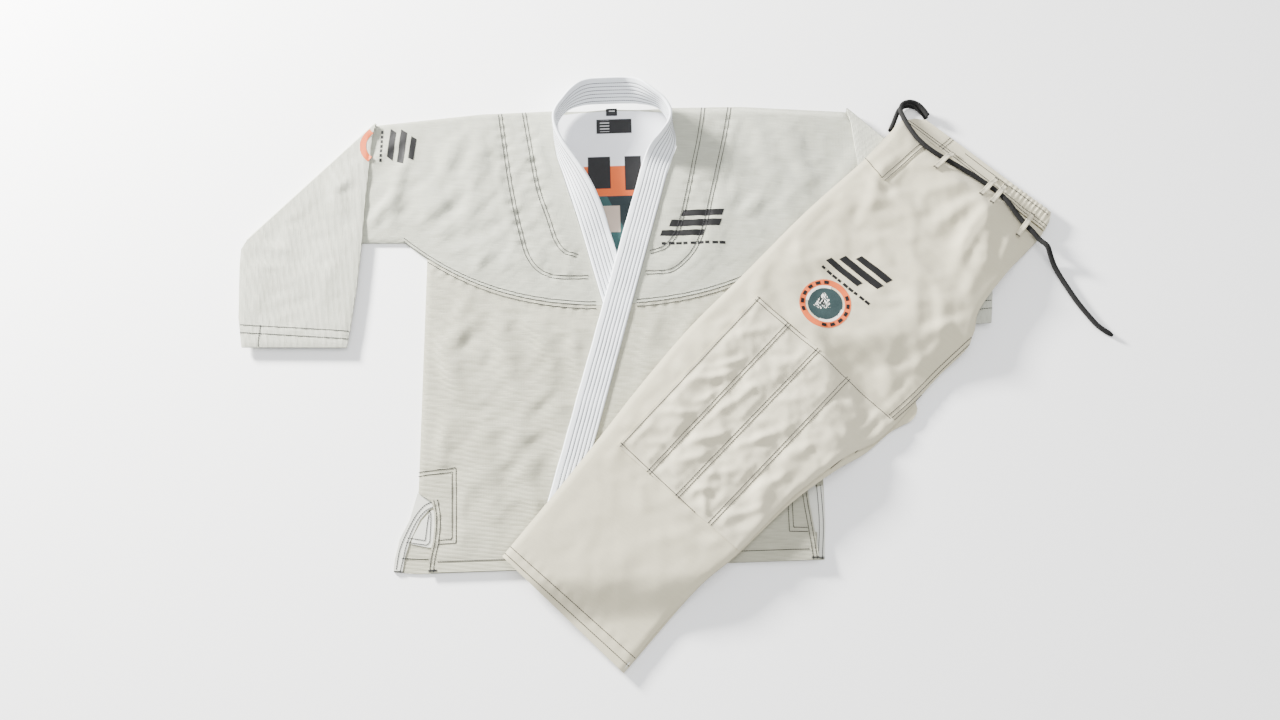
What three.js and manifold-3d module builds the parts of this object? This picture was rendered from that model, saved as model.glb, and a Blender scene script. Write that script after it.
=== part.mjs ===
// Martial arts uniform, laid flat: a wrap jacket with both forearms folded down over the upper
// sleeves, and a pair of drawstring trousers folded in half and laid across it.
// Millimetres, +Z up. Jacket frame: x = 0 on the jacket's centre line, y = 0 on its hem, z = 0 on
// the table. Trouser frame: s runs down the folded leg from the waist, t runs across it.
import * as THREE from 'three';
import { mergeVertices } from 'three/addons/utils/BufferGeometryUtils.js';
import Module from 'manifold-3d';

// ---- driving dimensions -------------------------------------------------------------------
const GAP = 0.3;                 // air between pieces that touch
const JACKET_CLOTH = 2.0;        // pearl-weave cloth
const TAPE = 0.8;                // hem tape, lining and reinforcement cloth
const HALF_BODY = 306;           // half the chest width
const SHOULDER_Y = 770;          // hem to the shoulder beside the neck
const SHOULDER_DROP = 18;        // fall of the shoulder line out to the sleeve fold
const CHEST_SEAM_Y = 410;        // hem to the chest seam on the centre line
const ARMPIT_OUT = 38;           // armpit beyond the side seam
const ARMPIT_Y = 532;
const ARMPIT_X = HALF_BODY + ARMPIT_OUT;
const SLEEVE_TOP = 56;           // armpit to the sleeve fold, along the shoulder line
const SLEEVE_TOP_X = ARMPIT_X + SLEEVE_TOP;
const SLEEVE_FOLD_RUN = 200;     // how far the slanting fold reaches outwards
const SLEEVE_FOLD_X = SLEEVE_TOP_X + SLEEVE_FOLD_RUN;
const SLEEVE_LOW_Y = 540;        // lower edge of the upper sleeve
const CUFF_Y = 357;              // hem to the cuff of the folded forearm
const CUFF_WIDTH = 167;
const FOREARM_INNER_X = SLEEVE_TOP_X + 12;
const CUFF_HEM = 14;
const SKIRT_HEM = 15;
const VENT_HEIGHT = 108;         // side slit of the skirt
const VENT_SPLAY = 33;           // how far the right back flap fans out at the hem
const LAPEL_WIDTH = 45;
const LAPEL_THICK = 5.0;
const LAPEL_COVER = 0.9;         // cover cloth round the foam core
const NECK_Y = 777;              // hem to the back neck seam
const NECK_HALF = 92;
const REINFORCEMENT_WIDTH = 43;  // strip of the U-shaped shoulder reinforcement

const TROUSER_CLOTH = 1.6;
const TROUSER_ANGLE = 45.5;      // leg direction against the x axis, degrees
const WAIST_OUT = 214;           // middle of the waist edge beyond the sleeve fold's top
const WAIST_X = SLEEVE_TOP_X + WAIST_OUT;
const WAIST_Y = 652;
const TROUSER_LENGTH = 1005;     // waist edge to leg hem
const WAISTBAND = 34;
const KNEE_TOP_S = 447;          // knee patch, from the waist edge
const KNEE_LOW_S = 773;
const KNEE_EDGE_T = -108;        // outer edge of the knee patch
const LEG_HEM = 18;
const TUNNEL_S = 14;             // cord tunnel inside the waistband
const DRAPE_RUN = 70;            // length over which the trousers come down to the table
const CORD_DIAMETER = 8;
const LOOP_WIDTH = 8;
const LOOP_CLOTH = 1.2;

// ---- layer heights ------------------------------------------------------------------------
const BACK_Z = 0;
const BACK_TAPE_Z = BACK_Z + JACKET_CLOTH + GAP;
const RIGHT_TAPE_Z = BACK_TAPE_Z + TAPE + GAP;
const RIGHT_Z = RIGHT_TAPE_Z + TAPE + GAP;
const LEFT_TAPE_Z = RIGHT_Z + JACKET_CLOTH + GAP;
const LEFT_Z = RIGHT_Z + LAPEL_THICK + GAP;
const FOREARM_STEP = JACKET_CLOTH + GAP;
const CUFF_STEP = FOREARM_STEP + TAPE + GAP;
const COVER_Z = LEFT_Z + FOREARM_STEP + CUFF_STEP + JACKET_CLOTH + GAP;
const NECK_Z = RIGHT_Z + LAPEL_THICK;

// ---- colours ------------------------------------------------------------------------------
const cloth = (color, roughness = 0.9) => new THREE.MeshStandardMaterial({ color, roughness, metalness: 0 });
const JACKET_WHITE = cloth(0xdcddd3);
const TROUSER_WHITE = cloth(0xd9d5c8);
const COLLAR_WHITE = cloth(0xe6e8ec, 0.8);
const LINING_WHITE = cloth(0xdfe0e2, 0.6);
const TAPE_WHITE = cloth(0xe2e2da);
const FOAM_GREY = cloth(0x9a9a98, 0.95);
const ELASTIC_WHITE = cloth(0xd0cec6, 0.85);
const LABEL_BLACK = cloth(0x151515, 0.7);
const PRINT_BLACK = cloth(0x1a1a1a, 0.5);
const BADGE_ORANGE = cloth(0xc8500f, 0.6);
const CORD_BLACK = cloth(0x121212, 0.85);

const wasm = await Module();
wasm.setup();

const jacket = new THREE.Group();
const forearm = new THREE.Group();
const trousers = new THREE.Group();
jacket.add(forearm);

function piece(parent, name, geometry, material) {
  const mesh = new THREE.Mesh(geometry, material);
  mesh.name = name;
  parent.add(mesh);
  return mesh;
}

// A flat panel: outline in x and y, lower face at z.
function flatPanel(points, z, thick) {
  const shape = new THREE.Shape(points.map(([x, y]) => new THREE.Vector2(x, y)));
  const geometry = new THREE.ExtrudeGeometry(shape, { depth: thick, bevelEnabled: false });
  geometry.translate(0, 0, z);
  return geometry;
}

const mirrored = (points) => points.map(([x, y]) => [-x, y]).reverse();
const strip = (x0, y0, x1, y1) => [[x0, y0], [x1, y0], [x1, y1], [x0, y1]];

// A closed solid from rings of points, each ring the same length, with flat ends.
function loft(rings) {
  const count = rings[0].length;
  const position = rings.flat().flatMap((p) => [p.x, p.y, p.z]);
  const index = [];
  for (let i = 0; i < rings.length - 1; i += 1) {
    for (let j = 0; j < count; j += 1) {
      const a = i * count + j;
      const b = i * count + ((j + 1) % count);
      index.push(a, b, b + count, a, b + count, a + count);
    }
  }
  const last = (rings.length - 1) * count;
  for (let j = 1; j < count - 1; j += 1) {
    index.push(0, j + 1, j, last, last + j, last + j + 1);
  }
  const geometry = new THREE.BufferGeometry();
  geometry.setAttribute('position', new THREE.Float32BufferAttribute(position, 3));
  geometry.setIndex(index);
  return geometry;
}

function toSolid(geometry) {
  const merged = mergeVertices(geometry, 1e-4);
  return new wasm.Manifold(new wasm.Mesh({
    numProp: 3,
    vertProperties: new Float32Array(merged.attributes.position.array),
    triVerts: new Uint32Array(merged.index.array),
  }));
}

function fromSolid(solid) {
  const mesh = solid.getMesh();
  const geometry = new THREE.BufferGeometry();
  geometry.setAttribute('position', new THREE.BufferAttribute(mesh.vertProperties, 3));
  geometry.setIndex(new THREE.BufferAttribute(mesh.triVerts, 1));
  return geometry;
}

// ---- collar: one band from hem to hem, round the back of the neck ------------------------
// The seam line is where the band is sewn to the jacket. The right lapel lies under the left one.
const RIGHT_SEAM_HEM_X = 82;
const RIGHT_SEAM_SLOPE = -0.25;
const LEFT_SEAM_HEM_X = -92;
const LEFT_SEAM_SLOPE = 0.285;
const STRAIGHT_TOP_Y = 690;
const rightSeamX = (y) => RIGHT_SEAM_HEM_X + RIGHT_SEAM_SLOPE * y;
const leftSeamX = (y) => LEFT_SEAM_HEM_X + LEFT_SEAM_SLOPE * y;
const smooth = (x, lo, hi) => THREE.MathUtils.smoothstep(x, lo, hi);

function seamPath() {
  const points = [];
  const lapelRows = [0, 170, 340, 500, 560, 620, STRAIGHT_TOP_Y - 30];
  for (const y of lapelRows) points.push(new THREE.Vector2(rightSeamX(y), y));
  const neck = new THREE.SplineCurve([
    new THREE.Vector2(rightSeamX(STRAIGHT_TOP_Y), STRAIGHT_TOP_Y),
    new THREE.Vector2(-NECK_HALF, NECK_Y - 40),
    new THREE.Vector2(-NECK_HALF + 18, NECK_Y - 12),
    new THREE.Vector2(-NECK_HALF / 2, NECK_Y - 2),
    new THREE.Vector2(0, NECK_Y),
    new THREE.Vector2(NECK_HALF / 2, NECK_Y - 2),
    new THREE.Vector2(NECK_HALF - 12, NECK_Y - 12),
    new THREE.Vector2(NECK_HALF + 5, NECK_Y - 40),
    new THREE.Vector2(leftSeamX(STRAIGHT_TOP_Y), STRAIGHT_TOP_Y),
  ]);
  points.push(...neck.getSpacedPoints(22));
  for (const y of lapelRows.slice().reverse()) points.push(new THREE.Vector2(leftSeamX(y), y));
  return points;
}

// Tilt of the band: 0 lies flat towards the opening, 90 stands up, more leans out.
function bandTilt(point) {
  const stand = point.x < 0 ? smooth(point.y, 520, NECK_Y - 35) : smooth(point.y, 640, NECK_Y - 35);
  const lean = smooth(NECK_HALF - 10 - Math.abs(point.x), 0, 60) * smooth(point.y, NECK_Y - 60, NECK_Y - 20);
  return THREE.MathUtils.degToRad(90 * stand + 50 * lean);
}

function bandBase(point) {
  const side = smooth(point.x, -60, NECK_HALF - 10);
  const atNeck = smooth(point.y, 600, NECK_Y - 30);
  const lapel = point.x > 0 && point.y > 480 ? LEFT_Z : RIGHT_Z;
  return THREE.MathUtils.lerp(lapel, THREE.MathUtils.lerp(NECK_Z, LEFT_Z, side), atNeck);
}

// Rings of the band's cross-section, inset on all four sides by the given amount.
function bandRings(inset) {
  const path = seamPath();
  return path.map((point, i) => {
    const before = path[Math.max(i - 1, 0)];
    const after = path[Math.min(i + 1, path.length - 1)];
    const along = after.clone().sub(before).normalize();
    const inward = new THREE.Vector3(along.y, -along.x, 0);
    const tilt = bandTilt(point);
    const onLeft = i > path.length / 2;
    const base = onLeft && point.y < NECK_Y - 60 ? LEFT_Z : bandBase(point);
    const across = inward.clone().multiplyScalar(Math.cos(tilt)).add(new THREE.Vector3(0, 0, Math.sin(tilt)));
    const up = inward.clone().multiplyScalar(-Math.sin(tilt)).add(new THREE.Vector3(0, 0, Math.cos(tilt)));
    const origin = new THREE.Vector3(point.x, point.y, base);
    const corner = (a, b) => origin.clone().addScaledVector(across, a).addScaledVector(up, b);
    const lowA = inset;
    const highA = LAPEL_WIDTH - inset;
    const lowB = inset;
    const highB = LAPEL_THICK - inset;
    return [corner(lowA, lowB), corner(lowA, highB), corner(highA, highB), corner(highA, lowB)];
  });
}

function stretchEnds(rings, extra) {
  const grown = rings.slice();
  const away = (p, q) => p.clone().addScaledVector(p.clone().sub(q).normalize(), extra);
  const push = (from, to) => from.map((p, j) => away(p, to[j]));
  grown.unshift(push(rings[0], rings[1]));
  grown.push(push(rings.at(-1), rings.at(-2)));
  return grown;
}

const bandOuter = toSolid(loft(bandRings(0)));
const bandHollow = toSolid(loft(stretchEnds(bandRings(LAPEL_COVER), 2)));
piece(jacket, 'collar_cover', fromSolid(bandOuter.subtract(bandHollow)), COLLAR_WHITE);
piece(jacket, 'collar_core', loft(bandRings(LAPEL_COVER + GAP)), FOAM_GREY);

// ---- jacket panels ------------------------------------------------------------------------
// Chest seam from the centre to the armpit, as x (outwards) and y.
const chestSeam = new THREE.CubicBezierCurve(
  new THREE.Vector2(0, CHEST_SEAM_Y),
  new THREE.Vector2(0.44 * ARMPIT_X, CHEST_SEAM_Y),
  new THREE.Vector2(0.74 * ARMPIT_X, CHEST_SEAM_Y + 45),
  new THREE.Vector2(ARMPIT_X, ARMPIT_Y),
);
const seamPoints = chestSeam.getPoints(12).map((p) => [p.x, p.y]);
const shoulderOut = [SLEEVE_TOP_X, SHOULDER_Y - SHOULDER_DROP];
const sleeveLow = [SLEEVE_FOLD_X, SLEEVE_LOW_Y];
const seamAtBody = seamPoints.filter(([x]) => x < HALF_BODY);
const beyond = seamPoints.findIndex(([x]) => x >= HALF_BODY);
const [[innerX, innerY], [outerX, outerY]] = seamPoints.slice(beyond - 1, beyond + 1);
const bodyTop = innerY + ((outerY - innerY) * (HALF_BODY - innerX)) / (outerX - innerX);

// Both upper sleeves, the shoulders and the upper back are one back panel.
const backNeck = new THREE.SplineCurve([
  new THREE.Vector2(NECK_HALF, SHOULDER_Y),
  new THREE.Vector2(NECK_HALF / 2, NECK_Y - 8),
  new THREE.Vector2(0, NECK_Y - 6),
  new THREE.Vector2(-NECK_HALF / 2, NECK_Y - 8),
  new THREE.Vector2(-NECK_HALF, SHOULDER_Y),
]).getPoints(8).map((p) => [p.x, p.y]);
const lift = (points, dy) => points.map(([x, y]) => [x, y + dy]);
const upperBack = [
  ...mirrored(lift(seamPoints, GAP / 2)).slice(0, -1),
  ...lift(seamPoints, GAP / 2),
  sleeveLow,
  shoulderOut,
  ...backNeck,
  [-shoulderOut[0], shoulderOut[1]],
  [-sleeveLow[0], sleeveLow[1]],
];
piece(jacket, 'upper_back_panel', flatPanel(upperBack, BACK_Z, JACKET_CLOTH), JACKET_WHITE);

const skirtTop = lift(seamAtBody, -GAP / 2);
const skirtBack = [
  [-HALF_BODY - VENT_SPLAY, 0],
  [HALF_BODY - 8, 0],
  [HALF_BODY - 2, VENT_HEIGHT / 2],
  [HALF_BODY, VENT_HEIGHT + 10],
  [HALF_BODY, bodyTop - GAP],
  ...skirtTop.slice().reverse(),
  ...skirtTop.slice(1).map(([x, y]) => [-x, y]),
  [-HALF_BODY, bodyTop - GAP],
  [-HALF_BODY, VENT_HEIGHT + 10],
  [-HALF_BODY - 0.75 * VENT_SPLAY, VENT_HEIGHT / 2],
];
piece(jacket, 'skirt_back_panel', flatPanel(skirtBack, BACK_Z, JACKET_CLOTH), JACKET_WHITE);

// Smooth lining inside the upper back.
const lining = [
  ...mirrored(seamPoints.slice(0, 8)).slice(0, -1),
  ...seamPoints.slice(0, 8),
  [250, SHOULDER_Y - SHOULDER_DROP - 4],
  [NECK_HALF - 6, SHOULDER_Y - 8],
  [-NECK_HALF + 6, SHOULDER_Y - 8],
  [-250, SHOULDER_Y - SHOULDER_DROP - 4],
];
piece(jacket, 'back_lining', flatPanel(lift(lining, 1), BACK_TAPE_Z, TAPE), LINING_WHITE);
const hemReach = HALF_BODY - 20;
const backHem = strip(-hemReach, 1, hemReach, SKIRT_HEM);
piece(jacket, 'back_hem_tape', flatPanel(backHem, BACK_TAPE_Z, TAPE), TAPE_WHITE);

// Front yokes, cut in one with the front of the upper sleeve.
const CLEAR_BAND = LAPEL_THICK + 2;
function frontYoke(seamX, sign) {
  const out = (x) => sign * x;
  const edge = (y, clear) => [out(sign * seamX(y)) + sign * clear, y];
  return [
    edge(CHEST_SEAM_Y + GAP, GAP),
    ...seamPoints.filter(([x]) => x > 45).map(([x, y]) => [out(x), y + GAP / 2]),
    [out(sleeveLow[0]), sleeveLow[1]],
    [out(shoulderOut[0]), shoulderOut[1]],
    [out(NECK_HALF + CLEAR_BAND + 8), SHOULDER_Y],
    edge(STRAIGHT_TOP_Y, CLEAR_BAND + 3),
    edge(560, CLEAR_BAND),
    edge(500, GAP),
  ];
}
const leftYoke = frontYoke(leftSeamX, 1);
const rightYoke = frontYoke(rightSeamX, -1).reverse();
piece(jacket, 'right_front_yoke', flatPanel(rightYoke, RIGHT_Z, JACKET_CLOTH), JACKET_WHITE);
piece(jacket, 'left_front_yoke', flatPanel(leftYoke, LEFT_Z, JACKET_CLOTH), JACKET_WHITE);

// Front skirts: each runs from the side seam past the centre to its lapel.
const SLIT_X = HALF_BODY - 29;
const SLIT_TOP_X = HALF_BODY - 17;
function frontSkirt(seamX, sign) {
  const outer = skirtTop.filter(([x]) => x > 45).map(([x, y]) => [sign * x, y]);
  return [
    [seamX(0) + sign * GAP, 0],
    [sign * SLIT_X, 0],
    [sign * SLIT_X, VENT_HEIGHT / 3],
    [sign * SLIT_TOP_X, VENT_HEIGHT],
    [sign * HALF_BODY, VENT_HEIGHT + 16],
    [sign * HALF_BODY, bodyTop - GAP],
    ...outer.reverse(),
    [seamX(CHEST_SEAM_Y) + sign * GAP, CHEST_SEAM_Y - GAP / 2],
  ];
}
const rightSkirt = frontSkirt(rightSeamX, -1).reverse();
const leftSkirt = frontSkirt(leftSeamX, 1);
piece(jacket, 'right_skirt_front', flatPanel(rightSkirt, RIGHT_Z, JACKET_CLOTH), JACKET_WHITE);
piece(jacket, 'left_skirt_front', flatPanel(leftSkirt, LEFT_Z, JACKET_CLOTH), JACKET_WHITE);

// Tapes and patches sewn inside the fronts, level with each front's lower face.
const sides = [
  { side: 'right', sign: -1, tapeZ: RIGHT_TAPE_Z, clothZ: RIGHT_Z },
  { side: 'left', sign: 1, tapeZ: LEFT_TAPE_Z, clothZ: LEFT_Z },
];
function orient(points) {
  const area = THREE.ShapeUtils.area(points.map(([x, y]) => ({ x, y })));
  return area < 0 ? points.slice().reverse() : points;
}
const PATCH_LOW = 41;
const PATCH_TOP = 155;
const PATCH_WIDTH = 50;
const VENT_TAPE = 10;
for (const { side, sign, tapeZ } of sides) {
  const along = (points) => orient(points.map(([x, y]) => [sign * x, y]));
  const hem = strip(150, 1, SLIT_X - VENT_TAPE - 1, SKIRT_HEM);
  piece(jacket, `${side}_front_hem_tape`, flatPanel(along(hem), tapeZ, TAPE), TAPE_WHITE);
  const patchIn = HALF_BODY - PATCH_WIDTH;
  const patch = strip(patchIn, PATCH_LOW, SLIT_X - VENT_TAPE - 1, PATCH_TOP);
  piece(jacket, `${side}_front_vent_patch`, flatPanel(along(patch), tapeZ, TAPE), TAPE_WHITE);
  const frontTape = strip(SLIT_X - VENT_TAPE, 1, SLIT_X - 1, VENT_HEIGHT);
  piece(jacket, `${side}_front_vent_tape`, flatPanel(along(frontTape), tapeZ, TAPE), TAPE_WHITE);
  const backPatch = strip(patchIn, PATCH_LOW, HALF_BODY - VENT_TAPE - 3, PATCH_TOP);
  piece(jacket, `${side}_back_vent_patch`, flatPanel(along(backPatch), BACK_TAPE_Z, TAPE), TAPE_WHITE);
  const backTape = strip(HALF_BODY - VENT_TAPE - 2, SKIRT_HEM + 1, HALF_BODY - 6, VENT_HEIGHT);
  piece(jacket, `${side}_back_vent_tape`, flatPanel(along(backTape), BACK_TAPE_Z, TAPE), TAPE_WHITE);
}

// U-shaped reinforcement inside each front, from the shoulder round to the lapel.
// Each point is its distance out from the centre line and down from the shoulder.
const REINFORCEMENT_X = 193;
function downFromShoulder(points) {
  const curve = new THREE.SplineCurve(points.map(([x, down]) => new THREE.Vector2(x, SHOULDER_Y - down)));
  return curve.getPoints(12).map((p) => [p.x, p.y]);
}
function reinforcement(sign) {
  const outer = downFromShoulder([
    [REINFORCEMENT_X, 6], [178, 80], [155, 195], [132, 273], [104, 304], [58, 308],
  ]);
  const inner = downFromShoulder([
    [62, 269], [84, 258], [108, 202], [126, 138], [142, 60], [REINFORCEMENT_X - REINFORCEMENT_WIDTH, 6],
  ]);
  return [...outer, ...inner].map(([x, y]) => [sign * x, y]);
}
for (const { side, sign, tapeZ } of sides) {
  const outline = orient(reinforcement(sign));
  piece(jacket, `${side}_shoulder_reinforcement`, flatPanel(outline, tapeZ, TAPE), TAPE_WHITE);
}

// Folded forearms: two layers each, turned down over the upper sleeve along the 45 degree fold.
function forearmOutline(sign) {
  const cuffOut = SLEEVE_FOLD_X - 8;
  return orient([
    [sign * SLEEVE_TOP_X, SHOULDER_Y - SHOULDER_DROP],
    [sign * FOREARM_INNER_X, SHOULDER_Y - SHOULDER_DROP - 130],
    [sign * (cuffOut - CUFF_WIDTH), CUFF_Y],
    [sign * cuffOut, CUFF_Y],
    [sign * SLEEVE_FOLD_X, SLEEVE_LOW_Y],
  ]);
}
for (const { side, sign, clothZ } of sides) {
  const parent = side === 'right' ? forearm : jacket;
  const lowZ = clothZ + FOREARM_STEP;
  const outline = forearmOutline(sign);
  const cuffOut = SLEEVE_FOLD_X - 10;
  const cuffStrip = strip(cuffOut - CUFF_WIDTH + 6, CUFF_Y + 1, cuffOut, CUFF_Y + CUFF_HEM);
  const tape = orient(cuffStrip.map(([x, y]) => [sign * x, y]));
  piece(parent, `${side}_forearm_front`, flatPanel(outline, lowZ, JACKET_CLOTH), JACKET_WHITE);
  piece(parent, `${side}_cuff_tape`, flatPanel(tape, lowZ + FOREARM_STEP, TAPE), TAPE_WHITE);
  piece(parent, `${side}_forearm_back`, flatPanel(outline, lowZ + CUFF_STEP, JACKET_CLOTH), JACKET_WHITE);
}

// Labels and transfer prints.
const LABEL_Z = BACK_TAPE_Z + TAPE + GAP;
const LABEL_THICK = 0.6;
const LABEL_WIDTH = 60;
const LABEL_TOP_Y = NECK_Y - 26;
const LABEL_HEIGHT = 27;
const LABEL_X = 4;               // middle of the label
const TAG_X = 0.5;
const TAG_WIDTH = 19;
const TAG_HEIGHT = 14;
const TAG_TOP_Y = NECK_Y - 5;
const PRINT_THICK = 0.5;
const CHEST_PRINT = { x: NECK_HALF - 16, top: SHOULDER_Y - 197, width: 110, height: 70 };
const SLEEVE_PRINT = { x: 2 - SLEEVE_TOP_X, top: SHOULDER_Y - 30, width: 68, height: 64 };
function marker(name, x, top, width, height, z, thick, material) {
  piece(jacket, name, flatPanel(strip(x, top - height, x + width, top), z, thick), material);
}
const labelLeft = LABEL_X - LABEL_WIDTH / 2;
marker('neck_label', labelLeft, LABEL_TOP_Y, LABEL_WIDTH, LABEL_HEIGHT, LABEL_Z, LABEL_THICK, LABEL_BLACK);
const tagLeft = TAG_X - TAG_WIDTH / 2;
marker('size_tag', tagLeft, TAG_TOP_Y, TAG_WIDTH, TAG_HEIGHT, LABEL_Z, LABEL_THICK, LABEL_BLACK);
const prints = [['chest_print', CHEST_PRINT, LEFT_Z], ['sleeve_print', SLEEVE_PRINT, RIGHT_Z]];
for (const [name, { x, top, width, height }, cloth] of prints) {
  marker(name, x, top, width, height, cloth + JACKET_CLOTH + GAP, PRINT_THICK, PRINT_BLACK);
}

// ---- trousers: folded in half, waist at s = 0 ---------------------------------------------
const turn = THREE.MathUtils.degToRad(180 + TROUSER_ANGLE);
trousers.rotation.z = turn;
trousers.position.set(WAIST_X, WAIST_Y, 0);
const toJacket = (s, t) => new THREE.Vector2(
  WAIST_X + s * Math.cos(turn) - t * Math.sin(turn),
  WAIST_Y + s * Math.sin(turn) + t * Math.cos(turn),
);

// Height of the trousers' lowest face: over the jacket, then down to the table beside it.
function drape(s, t) {
  const p = toJacket(s, t);
  const outside = (lo, hi, v) => Math.max(lo - v, v - hi, 0);
  const bodyX = outside(-HALF_BODY - 10, HALF_BODY + 10, p.x);
  const body = Math.hypot(bodyX, outside(-12, SHOULDER_Y, p.y));
  const sleeveX = outside(HALF_BODY, SLEEVE_FOLD_X + 6, p.x);
  const sleeve = Math.hypot(sleeveX, outside(CUFF_Y - 12, SHOULDER_Y, p.y));
  const foldTopY = SHOULDER_Y - SHOULDER_DROP;
  const foldSlope = SLEEVE_FOLD_RUN / (foldTopY - SLEEVE_LOW_Y);
  const pastFold = (p.x - SLEEVE_TOP_X + foldSlope * (p.y - foldTopY)) / Math.hypot(1, foldSlope);
  const distance = Math.min(body, Math.max(sleeve, pastFold - 8));
  return THREE.MathUtils.lerp(COVER_Z, GAP, smooth(distance, 0, DRAPE_RUN));
}

// One grid serves every layer, so the layers stay parallel wherever they bend.
const outEdge = new THREE.SplineCurve([
  new THREE.Vector2(0, -114), new THREE.Vector2(WAISTBAND, -138), new THREE.Vector2(95, -134),
  new THREE.Vector2(285, -147),
  new THREE.Vector2(560, -153), new THREE.Vector2(TROUSER_LENGTH - 222, -137),
  new THREE.Vector2(TROUSER_LENGTH, -120),
]);
const inEdge = new THREE.SplineCurve([
  new THREE.Vector2(0, 148), new THREE.Vector2(WAISTBAND, 160), new THREE.Vector2(200, 161),
  new THREE.Vector2(268, 185),
  new THREE.Vector2(384, 180), new THREE.Vector2(498, 176), new THREE.Vector2(660, 138),
  new THREE.Vector2(TROUSER_LENGTH - 165, 120), new THREE.Vector2(TROUSER_LENGTH, 121),
]);
function edgeAt(curve, s) {
  const points = edgeSamples.get(curve);
  const next = Math.max(points.findIndex((p) => p.x >= s), 1);
  const [a, b] = [points[next - 1], points[next]];
  return a.y + (b.y - a.y) * Math.min(Math.max((s - a.x) / (b.x - a.x), 0), 1);
}
const edgeSamples = new Map([outEdge, inEdge].map((curve) => [curve, curve.getPoints(120)]));

const steps = (from, to, count) => Array.from({ length: count }, (_, i) => from + ((to - from) * i) / count);
const stations = [
  0,
  TUNNEL_S,
  TUNNEL_S + CORD_DIAMETER,
  ...steps(WAISTBAND, KNEE_TOP_S, 11),
  ...steps(KNEE_TOP_S, KNEE_LOW_S, 8),
  ...steps(KNEE_LOW_S, TROUSER_LENGTH - LEG_HEM, 7),
  TROUSER_LENGTH - LEG_HEM,
  TROUSER_LENGTH,
];
const COLUMNS = 8;
function gridPoint(s, column) {
  const left = edgeAt(outEdge, s);
  const right = edgeAt(inEdge, s);
  if (column === 0) return left;
  return KNEE_EDGE_T + ((right - KNEE_EDGE_T) * (column - 1)) / (COLUMNS - 1);
}

// A closed slab over a grid of base points, with the same triangles above and below, so that
// slabs on one grid stay parallel.
function slab(base, level, thick) {
  const rows = base.length;
  const columns = base[0].length;
  const lower = base.flat().flatMap((p) => [p.x, p.y, p.z + level]);
  const upper = base.flat().flatMap((p) => [p.x, p.y, p.z + level + thick]);
  const over = rows * columns;
  const index = [];
  for (let i = 0; i < rows - 1; i += 1) {
    for (let j = 0; j < columns - 1; j += 1) {
      const a = i * columns + j;
      const b = a + columns;
      index.push(over + a, over + b, over + b + 1, over + a, over + b + 1, over + a + 1);
      index.push(a, b + 1, b, a, a + 1, b + 1);
    }
  }
  const rim = [];
  for (let i = 0; i < rows - 1; i += 1) rim.push(i * columns);
  for (let j = 0; j < columns - 1; j += 1) rim.push((rows - 1) * columns + j);
  for (let i = rows - 1; i > 0; i -= 1) rim.push(i * columns + columns - 1);
  for (let j = columns - 1; j > 0; j -= 1) rim.push(j);
  rim.forEach((a, k) => {
    const b = rim[(k + 1) % rim.length];
    index.push(a, b, over + b, a, over + b, over + a);
  });
  const geometry = new THREE.BufferGeometry();
  geometry.setAttribute('position', new THREE.Float32BufferAttribute([...lower, ...upper], 3));
  geometry.setIndex(index);
  return geometry;
}

// A layer of the grid: between two stations and two columns, trimmed at its ends.
function layer(fromS, toS, fromColumn, toColumn, level, thick, trim = GAP / 2) {
  const rows = stations.filter((s) => s >= fromS && s <= toS);
  const base = rows.map((s, row) => {
    const endTrim = row === 0 ? trim : row === rows.length - 1 ? -trim : 0;
    const line = [];
    for (let column = fromColumn; column <= toColumn; column += 1) {
      const t = gridPoint(s, column);
      line.push(new THREE.Vector3(s + endTrim, t, drape(s, t)));
    }
    return line;
  });
  return slab(base, level, thick);
}

const STEP = TROUSER_CLOTH + GAP;
const LOW_FRONT = STEP;
const LOW_TAPE = LOW_FRONT + STEP;
const LOW_BACK = LOW_TAPE + TAPE + GAP;
const TOP_BACK = LOW_BACK + STEP;
const TOP_TAPE = TOP_BACK + STEP;
const TOP_FRONT = TOP_TAPE + TAPE + GAP;
const TOP_PATCH = TOP_FRONT + STEP;
const legPanels = [
  ['left_leg_front', LOW_FRONT], ['left_leg_back', LOW_BACK],
  ['right_leg_back', TOP_BACK], ['right_leg_front', TOP_FRONT],
];
for (const [name, level] of legPanels) {
  const upper = layer(WAISTBAND, KNEE_LOW_S, 0, COLUMNS, level, TROUSER_CLOTH);
  const lower = layer(KNEE_LOW_S, TROUSER_LENGTH, 0, COLUMNS, level, TROUSER_CLOTH);
  piece(trousers, `${name}_upper`, upper, TROUSER_WHITE);
  piece(trousers, `${name}_lower`, lower, TROUSER_WHITE);
}
for (const [side, level] of [['left', 0], ['right', TOP_PATCH]]) {
  const patch = layer(KNEE_TOP_S, KNEE_LOW_S, 1, COLUMNS, level, TROUSER_CLOTH);
  piece(trousers, `${side}_knee_patch`, patch, TROUSER_WHITE);
}
for (const [side, level] of [['left', LOW_TAPE], ['right', TOP_TAPE]]) {
  const tape = layer(TROUSER_LENGTH - LEG_HEM, TROUSER_LENGTH, 0, COLUMNS, level, TAPE, 1);
  piece(trousers, `${side}_leg_hem_tape`, tape, TAPE_WHITE);
}

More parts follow.
